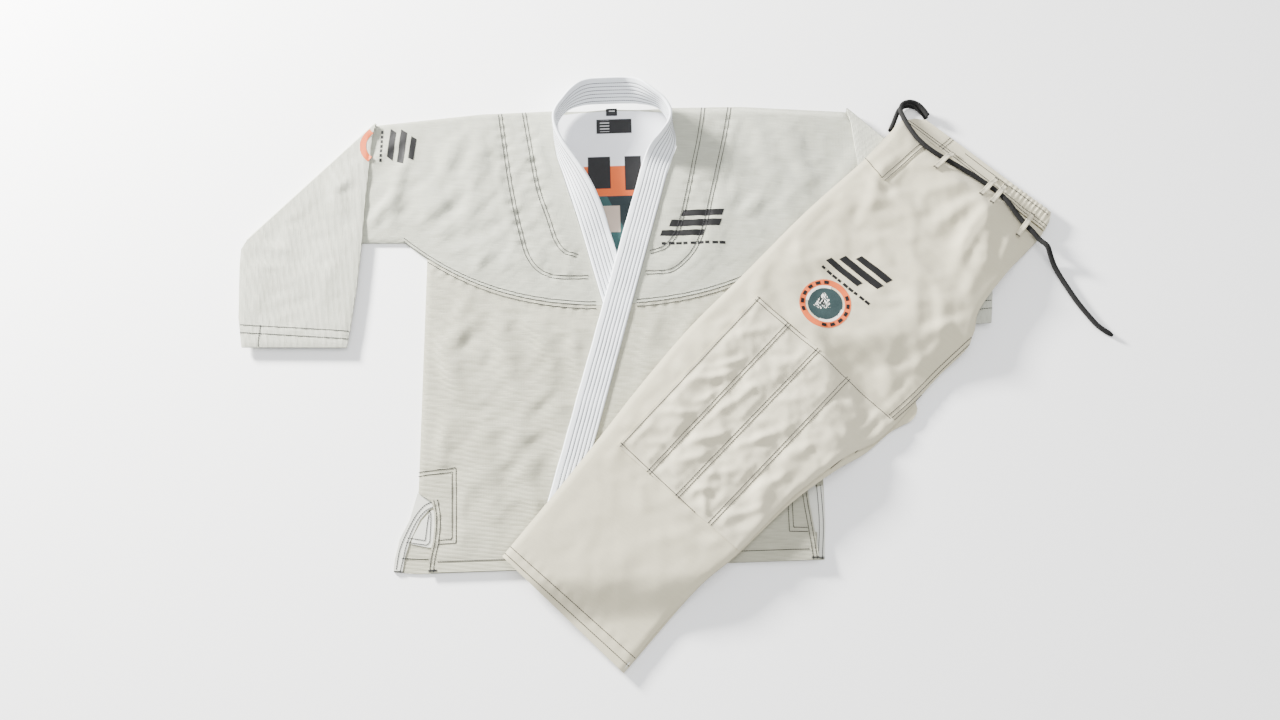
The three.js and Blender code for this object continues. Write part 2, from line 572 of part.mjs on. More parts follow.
// Waistband: two bands with the elastic and the drawstring's tunnel run between them.
const hipEnd = stations.find((s) => s > 130);
const waistLayers = [
  ['waistband_under', 0, WAISTBAND, 0, COLUMNS, LOW_FRONT, TROUSER_CLOTH, TROUSER_WHITE],
  ['waistband_top', 0, WAISTBAND, 0, COLUMNS, TOP_FRONT, TROUSER_CLOTH, TROUSER_WHITE],
  ['waist_elastic', 0, WAISTBAND, 4, COLUMNS, LOW_TAPE, TROUSER_CLOTH, ELASTIC_WHITE],
  ['drawstring_in_tunnel', TUNNEL_S, TUNNEL_S + CORD_DIAMETER, 0, COLUMNS, LOW_TAPE + STEP, 2.6, CORD_BLACK],
  ['right_hip_patch', WAISTBAND, hipEnd, 0, 3, TOP_PATCH, TAPE, TROUSER_WHITE],
  ['left_hip_patch', WAISTBAND, hipEnd, 0, 3, 0, TAPE, TROUSER_WHITE],
];
for (const [name, fromS, toS, fromColumn, toColumn, level, thick, material] of waistLayers) {
  piece(trousers, name, layer(fromS, toS, fromColumn, toColumn, level, thick), material);
}

// ---- drawstring and belt loops ------------------------------------------------------------
// A cord on the trousers rests this far above their lowest face.
const CORD_RADIUS = CORD_DIAMETER / 2;
const CORD_LEVEL = TOP_PATCH + TAPE + CORD_RADIUS + 2 * GAP;
const onTrousers = (s, t, extra = 0) => [s, t, drape(s, t) + CORD_LEVEL + extra];

// The tucked strand lies on the table, and the free strand starts on top of it.
const CORD_LOW = CORD_RADIUS + 0.4;
const CORD_OVER = CORD_LOW + CORD_DIAMETER + 0.6;
const freeEnd = [
  [-6, -112, CORD_OVER], [-10, -124, CORD_OVER + 0.5], [-11, -138, CORD_OVER + 1.5],
  [-5, -150, CORD_OVER + 3], [7, -156, CORD_OVER + 4.5], [20, -152, CORD_OVER + 6.5],
  onTrousers(33, -138, 1), onTrousers(44, -118, 1), onTrousers(52, -96), onTrousers(55, -74),
  onTrousers(54, -56), onTrousers(51, -38), onTrousers(47, -18), onTrousers(43, 4), onTrousers(40, 26),
  onTrousers(38, 45), onTrousers(38, 65), onTrousers(42, 88), onTrousers(47, 109), onTrousers(51, 130),
  onTrousers(54, 148), onTrousers(57, 164, -1), [60, 178, 21], [65, 192, 13], [71, 206, 6.5],
  [78, 222, CORD_LOW],
  [88, 246, CORD_LOW], [97, 270, CORD_LOW], [104, 295, CORD_LOW], [109, 320, CORD_LOW], [107, 346, CORD_LOW],
];
const tuckedEnd = [
  [-6, -112, CORD_LOW], [-10, -124, CORD_LOW], [-11, -138, CORD_LOW], [-3, -151, CORD_LOW + 0.4],
  [10, -156, CORD_LOW + 1.2], [24, -153, CORD_LOW + 2.6], [38, -148, CORD_LOW + 4.6],
  [50, -144, CORD_LOW + 6.6], [60, -141, CORD_LOW + 8.6],
];
function cordTube(points, sides, count) {
  const vectors = points.map(([x, y, z]) => new THREE.Vector3(x, y, z));
  const curve = new THREE.CatmullRomCurve3(vectors, false, 'centripetal');
  const section = new THREE.Shape();
  for (let i = 0; i < sides; i += 1) {
    const angle = (2 * Math.PI * i) / sides;
    const x = CORD_RADIUS * Math.cos(angle);
    const y = CORD_RADIUS * Math.sin(angle);
    if (i === 0) section.moveTo(x, y);
    else section.lineTo(x, y);
  }
  return new THREE.ExtrudeGeometry(section, { steps: count, extrudePath: curve, bevelEnabled: false });
}
piece(trousers, 'drawstring_free_end', cordTube(freeEnd, 8, 38), CORD_BLACK);
piece(trousers, 'drawstring_tucked_end', cordTube(tuckedEnd, 8, 12), CORD_BLACK);

// Each loop arches over the cord and comes down to the cloth on both sides of it.
const LOOP_REACH = 27;
const loops = [[51, -38], [38, 45], [38, 65], [51, 130]];
function beltLoop(cordS, t) {
  const clothLevel = TOP_PATCH + TAPE + GAP;
  const cordTop = onTrousers(cordS, t)[2] + CORD_RADIUS;
  const rings = [];
  for (const offset of [-LOOP_REACH, -18, -11, -6, 0, 6, 11, 18, LOOP_REACH]) {
    const s = cordS + offset;
    const fall = Math.max(Math.abs(offset) - 6, 0) * 1.0;
    const low = Math.max(drape(s, t) + clothLevel + GAP, cordTop + 1.1 - fall);
    rings.push([
      new THREE.Vector3(s, t - LOOP_WIDTH / 2, low),
      new THREE.Vector3(s, t + LOOP_WIDTH / 2, low),
      new THREE.Vector3(s, t + LOOP_WIDTH / 2, low + LOOP_CLOTH),
      new THREE.Vector3(s, t - LOOP_WIDTH / 2, low + LOOP_CLOTH),
    ]);
  }
  return loft(rings);
}
loops.forEach(([s, t], i) => piece(trousers, `belt_loop_${i + 1}`, beltLoop(s, t), TROUSER_WHITE));

// Transfer prints on the upper leg.
const PRINT_LEVEL = COVER_Z + TOP_PATCH;
const THIGH_PRINT_S = KNEE_TOP_S - 167;
const thighPrint = strip(THIGH_PRINT_S, -72, THIGH_PRINT_S + 48, 36);
piece(trousers, 'thigh_print', flatPanel(thighPrint, PRINT_LEVEL, PRINT_THICK), PRINT_BLACK);
const BADGE_RADIUS = 41;
const badge = new THREE.CylinderGeometry(BADGE_RADIUS, BADGE_RADIUS, PRINT_THICK, 32);
badge.rotateX(Math.PI / 2);
badge.translate(KNEE_TOP_S - 63, -22, PRINT_LEVEL + PRINT_THICK / 2);
piece(trousers, 'thigh_badge', badge, BADGE_ORANGE);

// ---- assembly: stood on z = 0, centred on its own footprint -------------------------------
const uniform = new THREE.Group();
const garments = new THREE.Group();
garments.add(jacket, trousers);
uniform.add(garments);
uniform.updateMatrixWorld(true);
const footprint = new THREE.Box3();
garments.traverse((node) => {
  if (node.isMesh && !/^drawstring_(free|tucked)/.test(node.name)) footprint.expandByObject(node, true);
});
const centre = footprint.getCenter(new THREE.Vector3());
garments.position.set(-centre.x, -centre.y, -footprint.min.z);

export default uniform;
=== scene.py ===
import math

import bpy
import numpy as np
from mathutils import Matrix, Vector
from mathutils.bvhtree import BVHTree


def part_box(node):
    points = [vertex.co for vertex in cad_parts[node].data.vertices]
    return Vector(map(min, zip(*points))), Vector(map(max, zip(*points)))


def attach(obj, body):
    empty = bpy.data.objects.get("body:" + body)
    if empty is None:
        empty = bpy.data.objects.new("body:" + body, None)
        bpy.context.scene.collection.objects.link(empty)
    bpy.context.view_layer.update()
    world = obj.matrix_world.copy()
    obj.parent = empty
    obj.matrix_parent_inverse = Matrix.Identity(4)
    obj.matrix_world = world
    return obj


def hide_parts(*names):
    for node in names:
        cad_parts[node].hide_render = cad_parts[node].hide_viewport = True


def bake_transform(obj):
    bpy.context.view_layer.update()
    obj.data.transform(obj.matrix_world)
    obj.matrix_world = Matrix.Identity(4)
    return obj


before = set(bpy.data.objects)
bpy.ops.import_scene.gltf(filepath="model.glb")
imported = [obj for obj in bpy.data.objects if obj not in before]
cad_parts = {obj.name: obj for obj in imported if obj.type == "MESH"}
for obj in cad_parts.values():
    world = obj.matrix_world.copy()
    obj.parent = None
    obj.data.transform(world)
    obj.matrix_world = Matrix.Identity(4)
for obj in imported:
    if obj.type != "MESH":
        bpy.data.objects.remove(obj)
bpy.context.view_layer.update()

# ---- Studio --------------------------------------------------------------------------------
# A pale table top, soft light from above and a broad key from the upper left, and a camera that
# looks down steeply on the laid-out uniform.
MM = 0.001
back_low, back_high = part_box("upper_back_panel")
skirt_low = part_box("skirt_back_panel")[0]
CENTRE_X = (back_low[0] + back_high[0]) / 2
HEM_Y = skirt_low[1]


def jacket_place(points):
    """Millimetres from the jacket's centre line and hem, as metres in the shared frame."""
    return np.asarray(points, float) * MM + np.array([CENTRE_X, HEM_Y, 0])


def new_object(name, shape):
    made = bpy.data.objects.new(name, shape)
    bpy.context.scene.collection.objects.link(made)
    return made


TILT = math.radians(17.5)
YAW = math.radians(-1.9)
CAMERA_AWAY = 1.5
target = jacket_place([34.6, 319.0, 0])
camera_data = bpy.data.cameras.new("camera")
camera_data.sensor_width = 36
camera_data.lens = 26.72
camera = new_object("camera", camera_data)
reach = CAMERA_AWAY * math.sin(TILT)
camera.location = (
    target[0] + reach * math.sin(YAW),
    target[1] - reach * math.cos(YAW),
    CAMERA_AWAY * math.cos(TILT),
)
camera.rotation_euler = (TILT, 0, YAW)
bpy.context.scene.camera = camera

table_mesh = bpy.data.meshes.new("table_top")
SIDE = 6.0
table_mesh.from_pydata(
    [(-SIDE, -SIDE, 0), (SIDE, -SIDE, 0), (SIDE, SIDE, 0), (-SIDE, SIDE, 0)], [], [(0, 1, 2, 3)]
)
table = new_object("table_top", table_mesh)
table.location.z = -0.0005
table_paint = bpy.data.materials.new("table_paint")
table_paint.use_nodes = True
paint_shader = table_paint.node_tree.nodes["Principled BSDF"]
paint_shader.inputs["Base Color"].default_value = (0.97, 0.97, 0.97, 1)
paint_shader.inputs["Roughness"].default_value = 0.9
table_mesh.materials.append(table_paint)

world = bpy.data.worlds.new("soft_room")
world.use_nodes = True
backdrop = world.node_tree.nodes["Background"]
backdrop.inputs["Color"].default_value = (0.98, 0.99, 1.0, 1)
backdrop.inputs["Strength"].default_value = 0.95
bpy.context.scene.world = world


def soft_lamp(name, place, aim, size, watts, tint):
    lamp = bpy.data.lights.new(name, "AREA")
    lamp.shape = "RECTANGLE"
    lamp.size, lamp.size_y = size
    lamp.energy = watts
    lamp.color = tint
    holder = new_object(name, lamp)
    holder.location = place
    holder.rotation_euler = (Vector(aim) - Vector(place)).to_track_quat("-Z", "Y").to_euler()


soft_lamp("window_light", (-2.3, 1.9, 0.9), (0, 0, 0), (0.6, 0.4), 760, (1.0, 0.99, 0.96))
soft_lamp("top_light", (0.3, 0.2, 2.6), (0, 0, 0), (2.4, 2.4), 62, (0.97, 0.98, 1.0))

# ---- Drawstring ----------------------------------------------------------------------------
# One braided black cotton cord, 8 mm thick. It leaves the waistband's tunnel at the hip corner,
# lies through four loops and ends bare; its other end tucks in under the hip.
LEG_ANGLE = math.radians(180 + 45.5)
WAIST = (614.0, 652.0)
ALONG = np.array([math.cos(LEG_ANGLE), math.sin(LEG_ANGLE)])
ACROSS = np.array([-math.sin(LEG_ANGLE), math.cos(LEG_ANGLE)])


def leg_to_jacket(s, t):
    """From distance down the leg and across it to jacket millimetres."""
    s, t = np.asarray(s, float), np.asarray(t, float)
    x = WAIST[0] + s * ALONG[0] + t * ACROSS[0]
    y = WAIST[1] + s * ALONG[1] + t * ACROSS[1]
    return x, y


def smooth(value, low, high):
    step = np.clip((np.asarray(value, float) - low) / (high - low), 0, 1)
    return step * step * (3 - 2 * step)


HALF_BODY = 306.0
SHOULDER_Y = 770.0
FOLD_TOP = (400.0, 752.0)
FOLD_LOW = (600.0, 540.0)
CUFF_Y = 357.0
COVER_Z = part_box("left_forearm_back")[1][2] / MM + 0.3
DRAPE_RUN = 70.0


def drape(s, t):
    """Height of the trousers' lowest face, over the jacket and down to the table beside it."""
    x, y = leg_to_jacket(s, t)

    def outside(low, high, v):
        return np.maximum(np.maximum(low - v, v - high), 0)

    body = np.hypot(outside(-HALF_BODY - 10, HALF_BODY + 10, x), outside(-12, SHOULDER_Y, y))
    sleeve = np.hypot(outside(HALF_BODY, FOLD_LOW[0] + 6, x), outside(CUFF_Y - 12, SHOULDER_Y, y))
    slope = (FOLD_LOW[0] - FOLD_TOP[0]) / (FOLD_TOP[1] - FOLD_LOW[1])
    past_fold = (x - FOLD_TOP[0] + slope * (y - FOLD_TOP[1])) / math.hypot(1, slope)
    distance = np.minimum(body, np.maximum(sleeve, past_fold - 8))
    return COVER_Z + (0.3 - COVER_Z) * smooth(distance, 0, DRAPE_RUN)


CORD_DIAMETER = 8.0
TOP_FACE = 13.3          # the cloth's upper face above the drape, at the hip
CORD_LEVEL = TOP_FACE + CORD_DIAMETER / 2 + 0.4


def on_trousers(s, t, extra=0.0):
    return (s, t, float(drape(s, t)) + CORD_LEVEL + extra)


free_route = [
    (-6, -112, 13), (-10, -124, 13.5), (-11, -138, 14.5), (-5, -150, 16), (7, -156, 17.5), (20, -152, 19.5),
    on_trousers(33, -138, 1), on_trousers(44, -118, 1), on_trousers(52, -96), on_trousers(55, -74),
    on_trousers(54, -56), on_trousers(51, -38), on_trousers(47, -18), on_trousers(43, 4), on_trousers(40, 26),
    on_trousers(38, 45), on_trousers(38, 65), on_trousers(42, 88), on_trousers(47, 109), on_trousers(51, 130),
    on_trousers(54, 148), on_trousers(57, 164, -1), (60, 178, 21), (65, 192, 13), (71, 206, 6.5),
    (78, 222, 4.4), (88, 246, 4.4), (97, 270, 4.4), (104, 295, 4.4), (109, 320, 4.4), (107, 346, 4.4),
]
tucked_route = [
    (-6, -112, 4.4), (-10, -124, 4.4), (-11, -138, 4.4), (-3, -151, 4.8), (10, -156, 5.6),
    (24, -153, 7), (38, -148, 9), (50, -144, 11), (60, -141, 13),
]


def spline_through(points, spacing):
    """Even points along a centripetal curve through the given ones."""
    p = np.asarray(points, float)
    p = np.vstack([2 * p[0] - p[1], p, 2 * p[-1] - p[-2]])
    out = []
    for i in range(1, len(p) - 2):
        a, b, c, d = p[i - 1:i + 3]
        t0 = 0.0
        t1 = t0 + math.sqrt(np.linalg.norm(b - a))
        t2 = t1 + math.sqrt(np.linalg.norm(c - b))
        t3 = t2 + math.sqrt(np.linalg.norm(d - c))
        for t in np.linspace(t1, t2, 24, endpoint=False):
            a1 = a * (t1 - t) / (t1 - t0) + b * (t - t0) / (t1 - t0)
            a2 = b * (t2 - t) / (t2 - t1) + c * (t - t1) / (t2 - t1)
            a3 = c * (t3 - t) / (t3 - t2) + d * (t - t2) / (t3 - t2)
            b1 = a1 * (t2 - t) / (t2 - t0) + a2 * (t - t0) / (t2 - t0)
            b2 = a2 * (t3 - t) / (t3 - t1) + a3 * (t - t1) / (t3 - t1)
            out.append(b1 * (t2 - t) / (t2 - t1) + b2 * (t - t1) / (t2 - t1))
    out.append(p[-2])
    out = np.array(out)
    run = np.concatenate([[0], np.cumsum(np.linalg.norm(np.diff(out, axis=0), axis=1))])
    marks = np.linspace(0, run[-1], max(int(round(run[-1] / spacing)), 2) + 1)
    return np.column_stack([np.interp(marks, run, out[:, k]) for k in range(out.shape[1])]), run[-1]


def leg_place(points):
    p = np.asarray(points, float)
    x, y = leg_to_jacket(p[:, 0], p[:, 1])
    return jacket_place(np.column_stack([x, y, p[:, 2]]))


class Thread:
    """A socket whose arithmetic adds Math nodes to its tree."""

    def __init__(self, tree, socket):
        self.tree = tree
        self.socket = socket

    def math(self, operation, first, second=None):
        values = {0: first} if second is None else {0: first, 1: second}
        return add_node(self.tree, "ShaderNodeMath", {"operation": operation}, values)

    def __add__(self, other):
        return self.math("ADD", self, other)

    __radd__ = __add__

    def __sub__(self, other):
        return self.math("SUBTRACT", self, other)

    def __rsub__(self, other):
        return self.math("SUBTRACT", other, self)

    def __mul__(self, other):
        return self.math("MULTIPLY", self, other)

    __rmul__ = __mul__

    def __truediv__(self, other):
        return self.math("DIVIDE", self, other)

    def sine(self):
        return self.math("SINE", self)

    def limited(self):
        """Held between 0 and 1."""
        settings = {"operation": "ADD", "use_clamp": True}
        return add_node(self.tree, "ShaderNodeMath", settings, {0: self, 1: 0.0})


def add_node(tree, kind, settings=None, values=None, output=0):
    """A node with its settings made first, then its sockets' values or links."""
    made = tree.nodes.new(kind)
    for key, value in (settings or {}).items():
        if key == "stops":
            ramp = made.color_ramp
            while len(ramp.elements) < len(value):
                ramp.elements.new(0.5)
            for element, (place, colour) in zip(ramp.elements, value):
                element.position = place
                element.color = colour
        else:
            setattr(made, key, value)
    for key, value in (values or {}).items():
        if isinstance(value, Thread):
            tree.links.new(value.socket, made.inputs[key])
        else:
            made.inputs[key].default_value = value
    return Thread(tree, made.outputs[output])


def new_material(name, roughness, sheen=0.0):
    material = bpy.data.materials.new(name)
    material.use_nodes = True
    shader = material.node_tree.nodes["Principled BSDF"]
    shader.inputs["Roughness"].default_value = roughness
    shader.inputs["Specular IOR Level"].default_value = 0.25
    shader.inputs["Sheen Weight"].default_value = sheen
    shader.inputs["Sheen Roughness"].default_value = 0.5
    return material, material.node_tree, shader


def connect(tree, shader, socket, value):
    tree.links.new(value.socket, shader.inputs[socket])


def bump(tree, height, distance, strength=1.0):
    values = {"Height": height, "Distance": distance, "Strength": strength}
    return add_node(tree, "ShaderNodeBump", {}, values)


def mix_colour(tree, factor, first, second):
    made = tree.nodes.new("ShaderNodeMix")
    made.data_type = "RGBA"
    for key, value in (("Factor", factor), ("A", first), ("B", second)):
        socket = [s for s in made.inputs if s.name == key and (key == "Factor") == (s.type == "VALUE")
                  and s.type in ("VALUE", "RGBA")][0]
        if isinstance(value, Thread):
            tree.links.new(value.socket, socket)
        else:
            socket.default_value = value
    out = [s for s in made.outputs if s.type == "RGBA"][0]
    return Thread(tree, out)


def braid_finish():
    """Matt black braided cotton: small raised strands, mottled between two near blacks."""
    material, tree, shader = new_material("black_braid", 0.9, 0.0)
    place = add_node(tree, "ShaderNodeTexCoord", output=3)
    fine = add_node(tree, "ShaderNodeTexNoise", {}, {"Vector": place, "Scale": 900.0, "Detail": 2.0})
    strands = add_node(tree, "ShaderNodeTexVoronoi", {}, {"Vector": place, "Scale": 520.0})
    colour = mix_colour(tree, fine, (0.002, 0.002, 0.002, 1), (0.012, 0.012, 0.012, 1))
    connect(tree, shader, "Base Color", colour)
    connect(tree, shader, "Normal", bump(tree, strands, 0.0006, 0.7))
    return material


cord_finish = braid_finish()


def braided_cord(name, route, nodes, far_taper):
    """A curve of one open spline through the route, thick as the cord."""
    points, length = spline_through(route, 4.0)
    placed = leg_place(points)
    curve = bpy.data.curves.new(name, "CURVE")
    curve.dimensions = "3D"
    curve.bevel_depth = CORD_DIAMETER / 2 * MM
    curve.bevel_resolution = 4
    curve.use_fill_caps = True
    line = curve.splines.new("POLY")
    line.points.add(len(placed) - 1)
    for point, place in zip(line.points, placed):
        point.co = (*place, 1)
    for i in range(3):
        line.points[-1 - i].radius = far_taper[i]
    curve.materials.append(cord_finish)
    cord = new_object(name, curve)
    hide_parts(*nodes)
    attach(cord, "trousers")


braided_cord("drawstring_free", free_route, ["drawstring_free_end"], (0.55, 0.85, 1.0))
braided_cord("drawstring_tucked", tucked_route, ["drawstring_tucked_end"], (1.0, 1.0, 1.0))

# ---- Back panels ---------------------------------------------------------------------------
# The upper back, cut in one with the backs of the upper sleeves, and the skirt back. Both are
# white pearl-weave cotton, lie on the table and join along the curved chest seam.
JACKET_CLOTH = 2.0
CHEST_SEAM_Y = 410.0
ARMPIT = (344.0, 532.0)
VENT_HEIGHT = 108.0
VENT_SPLAY = 33.0
SEAM_GAP = 0.15
RIB_PITCH = 1.9
SEEN_NET = 4.2           # spacing of the net in cloth that shows, and in cloth that is covered
HIDDEN_NET = 9.0
NARROWEST = 0.0101       # flat_size counts a strip of cloth as at least this wide, in metres and as covering at least this share of the rectangle around it
LEAST_FILL = 0.31        # and to cover at least this share of the rectangle around it


def bezier(points, count):
    t = np.linspace(0, 1, count)[:, None]
    a, b, c, d = (np.array(p) for p in points)
    return (1 - t) ** 3 * a + 3 * t * (1 - t) ** 2 * b + 3 * t * t * (1 - t) * c + t ** 3 * d


chest_seam = bezier(
    [
        (0, CHEST_SEAM_Y), (0.44 * ARMPIT[0], CHEST_SEAM_Y),
        (0.74 * ARMPIT[0], CHEST_SEAM_Y + 45), ARMPIT,
    ],
    40,
)


def even_points(points, spacing):
    p = np.asarray(points, float)
    run = np.concatenate([[0], np.cumsum(np.linalg.norm(np.diff(p, axis=0), axis=1))])
    marks = np.linspace(0, run[-1], max(int(round(run[-1] / spacing)), 1) + 1)
    return np.column_stack([np.interp(marks, run, p[:, k]) for k in range(p.shape[1])])


def rounded(points, spacing=6.0):
    """A smooth line through flat points, evenly stepped."""
    p = np.column_stack([np.asarray(points, float), np.zeros(len(points))])
    return spline_through(p, spacing)[0][:, :2]


def inside(outline, x, y):
    crossings = np.zeros(x.shape, bool)
    for (ax, ay), (bx, by) in zip(outline, np.roll(outline, -1, axis=0)):
        if ay != by:
            crossings ^= ((ay > y) != (by > y)) & (x < (bx - ax) * (y - ay) / (by - ay) + ax)
    return crossings


def from_line(line, x, y):
    """Distance to a line, how far along it the nearest point lies, and that point."""
    line = np.asarray(line, float)
    points = np.column_stack([np.ravel(x), np.ravel(y)])
    best = np.full(len(points), 1e9)
    run_at, foot = np.zeros(len(points)), np.zeros((len(points), 2))
    run = 0.0
    for a, b in zip(line[:-1], line[1:]):
        step = b - a
        length = np.linalg.norm(step)
        share = np.clip((points - a) @ step / max(length * length, 1e-9), 0, 1)
        near = a + share[:, None] * step
        away = np.linalg.norm(points - near, axis=1)
        closer = away < best
        best[closer], run_at[closer] = away[closer], run + share[closer] * length
        foot[closer] = near[closer]
        run += length
    return best, run_at, foot


def cut_cloth(outline, spacing):
    """A square net of points cut to an outline, with its rim drawn onto the outline."""
    edge = np.asarray(outline, float)
    if np.sum(edge[:, 0] * np.roll(edge[:, 1], -1) - np.roll(edge[:, 0], -1) * edge[:, 1]) < 0:
        edge = edge[::-1]
    low = edge.min(0) - spacing * 0.5
    columns, rows = np.ceil((edge.max(0) - low) / spacing).astype(int) + 1
    x, y = np.meshgrid(
        low[0] + spacing * np.arange(columns + 1), low[1] + spacing * np.arange(rows + 1), indexing="ij")
    keep = inside(edge, x[:-1, :-1] + spacing / 2, y[:-1, :-1] + spacing / 2)
    for _ in range(4):
        a, b, c, d = keep[:-1, :-1], keep[1:, :-1], keep[:-1, 1:], keep[1:, 1:]
        pinch = (a & d & ~b & ~c) | (b & c & ~a & ~d)
        for block in (a, b, c, d):
            block |= pinch
    number = np.arange(x.size).reshape(x.shape)
    quads = np.stack([number[:-1, :-1], number[1:, :-1], number[1:, 1:], number[:-1, 1:]], axis=-1)[keep]
    used, quads = np.unique(quads, return_inverse=True)
    quads = quads.reshape(-1, 4)
    xy = np.column_stack([x.ravel(), y.ravel()])[used]
    sides = np.concatenate([quads[:, [k, (k + 1) % 4]] for k in range(4)])
    key = sides[:, 0] * len(used) + sides[:, 1]
    back = sides[:, 1] * len(used) + sides[:, 0]
    rim = sides[~np.isin(key, back)]
    border = np.unique(rim)
    closed = np.vstack([edge, edge[:1]])
    xy[border] = from_line(closed, xy[border, 0], xy[border, 1])[2]
    for corner in edge:
        away = np.linalg.norm(xy[border] - corner, axis=1)
        if away.min() < spacing * 0.8:
            xy[border[away.argmin()]] = corner
    return {"xy": xy, "quads": quads, "rim": rim, "border": border, "outline": closed}


def ripple(x, y, wave, along, angle, seed):
    """Smooth seeded unevenness: `wave` apart across its direction and `along` down it."""
    u = (x * math.cos(angle) + y * math.sin(angle)) / along + 400
    v = (-x * math.sin(angle) + y * math.cos(angle)) / wave + 400
    table = np.random.default_rng(seed).uniform(-1, 1, (64, 64))
    i, j = np.floor(u).astype(int), np.floor(v).astype(int)
    fu, fv = u - i, v - j
    fu, fv = fu * fu * (3 - 2 * fu), fv * fv * (3 - 2 * fv)
    i, j, i1, j1 = i % 64, j % 64, (i + 1) % 64, (j + 1) % 64
    return (table[i, j] * (1 - fu) * (1 - fv) + table[i1, j] * fu * (1 - fv)
            + table[i, j1] * (1 - fu) * fv + table[i1, j1] * fu * fv)


def cloth_piece(name, net, low, high, place, material):
    """A closed thin sheet from a net and the heights of its lower and upper faces."""
    xy, quads, rim = net["xy"], net["quads"], net["rim"]
    count = len(xy)
    bottom = place(np.column_stack([net.get("low_xy", xy), low]))
    top = place(np.column_stack([xy, high]))
    wall = np.column_stack([rim[:, 0], rim[:, 1], rim[:, 1] + count, rim[:, 0] + count])
    faces = np.vstack([quads[:, ::-1], quads + count, wall])
    mesh = bpy.data.meshes.new(name)
    mesh.from_pydata(np.vstack([bottom, top]).tolist(), [], faces.tolist())
    mesh.shade_smooth()
    mesh.set_sharp_from_angle(angle=math.radians(52))
    mesh.materials.append(material)
    piece = new_object(name, mesh)
    return piece


def flat_size(net, digits=5):
    """A net's enclosing rectangle and its cut area, in metres."""
    spread = np.maximum(np.ptp(net["xy"], axis=0) * MM, NARROWEST)
    edge = net["outline"]
    cut = abs(np.sum(edge[:-1, 0] * edge[1:, 1] - edge[1:, 0] * edge[:-1, 1])) / 2 * 1e-6
    area = max(float(cut), LEAST_FILL * float(spread[0] * spread[1]))
    return (round(float(spread[0]), 3), round(float(spread[1]), 3)), round(area, digits)


def laid_cloth(piece, node, body, net, digits=5):
    """Hides the node that a sheet stands for and puts the sheet on one body; the sheet's flat size and area
    are worked out but not used.
    """
    flat, area = flat_size(net, digits)
    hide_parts(node)
    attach(piece, body)


def linear(red, green, blue):
    """Screen colour, 0 to 255, as a linear colour."""
    parts = [c / 255 for c in (red, green, blue)]
    parts = [c / 12.92 if c <= 0.04045 else ((c + 0.055) / 1.055) ** 2.4 for c in parts]
    return (*parts, 1.0)


def across_and_up(tree, place):
    """The first two parts of a place."""
    first = add_node(tree, "ShaderNodeSeparateXYZ", {}, {"Vector": place})
    return first, Thread(tree, first.socket.node.outputs["Y"])


def woven(name, light, dark, rib_pitch, rib_angle, depth, sheen=0.25, streak=0.5):
    """Cotton cloth: raised ribs broken into grains, slubs drawn out along them, faint soiling; the ribs'
    colour holds painted shade in their furrows and a painted highlight on their crowns.
    """
    material, tree, shader = new_material(name, 0.92, sheen)
    raw = add_node(tree, "ShaderNodeTexCoord", output=3)
    turned = add_node(tree, "ShaderNodeMapping", {}, {"Vector": raw, "Rotation": (0.0, 0.0, rib_angle)})
    along, across = across_and_up(tree, turned)
    pull = add_node(tree, "ShaderNodeMapping", {}, {"Vector": turned, "Scale": (42.0, 380.0, 60.0)})
    slub = add_node(tree, "ShaderNodeTexNoise", {}, {"Vector": pull, "Scale": 1.0, "Detail": 3.0})
    wander = slub * 1.6
    rib = (across * (2 * math.pi / (rib_pitch * MM)) + wander).sine() * 0.5 + 0.5
    grain = (along * (2 * math.pi / (rib_pitch * 1.3 * MM)) + wander * 2.0).sine() * 0.5 + 0.5
    height = rib * 0.7 + rib * grain * 0.3 + slub * 0.5
    cloud = add_node(tree, "ShaderNodeTexNoise", {}, {"Vector": raw, "Scale": 9.0, "Detail": 3.0})
    # The rib term is painted shade in the furrows and painted highlight on the crowns; slubs and cloud are
    # the cloth's own uneven tone.
    tone_and_painted_light = rib * 0.25 + slub * streak + cloud * 0.35
    connect(tree, shader, "Base Color", mix_colour(tree, tone_and_painted_light, dark, light))
    connect(tree, shader, "Roughness", 0.98 - slub * 0.12)
    connect(tree, shader, "Normal", bump(tree, height, depth * MM, 0.8))
    return material


yoke_cloth = woven("yoke_pearl_weave", linear(209, 211, 195), linear(140, 140, 121), RIB_PITCH, 0.12, 1.1)
skirt_cloth = woven("skirt_pearl_weave", linear(208, 206, 186), linear(130, 128, 106), RIB_PITCH, 0.0, 1.3)

seam_out = chest_seam[1:]
seam_both = np.vstack([chest_seam[::-1] * [-1, 1], seam_out])


def seam_height(x):
    return np.interp(np.abs(x), chest_seam[:, 0], chest_seam[:, 1])


body_seam = seam_both[np.abs(seam_both[:, 0]) < HALF_BODY]
corner_y = float(seam_height(HALF_BODY))
back_neck = rounded([(92, 770), (46, 769), (0, 771), (-46, 769), (-92, 770)])
upper_back_outline = np.vstack([
    seam_both + [0, SEAM_GAP],
    [FOLD_LOW, FOLD_TOP, (222, 768)],
    back_neck,
    [(-222, 768), (-FOLD_TOP[0], FOLD_TOP[1]), (-FOLD_LOW[0], FOLD_LOW[1])],
])
skirt_back_outline = np.vstack([
    [(-HALF_BODY - VENT_SPLAY, 3), (-HALF_BODY + 2, -1), (HALF_BODY - 9, 0), (HALF_BODY - 3, 54)],
    [(HALF_BODY, VENT_HEIGHT + 10), (HALF_BODY, corner_y - 0.3)],
    body_seam[::-1] - [0, SEAM_GAP],
    [(-HALF_BODY, corner_y - 0.3), (-HALF_BODY, VENT_HEIGHT + 10), (-HALF_BODY - 12, 79)],
    [(-HALF_BODY - 26, 50), (-HALF_BODY - 32, 21)],
])


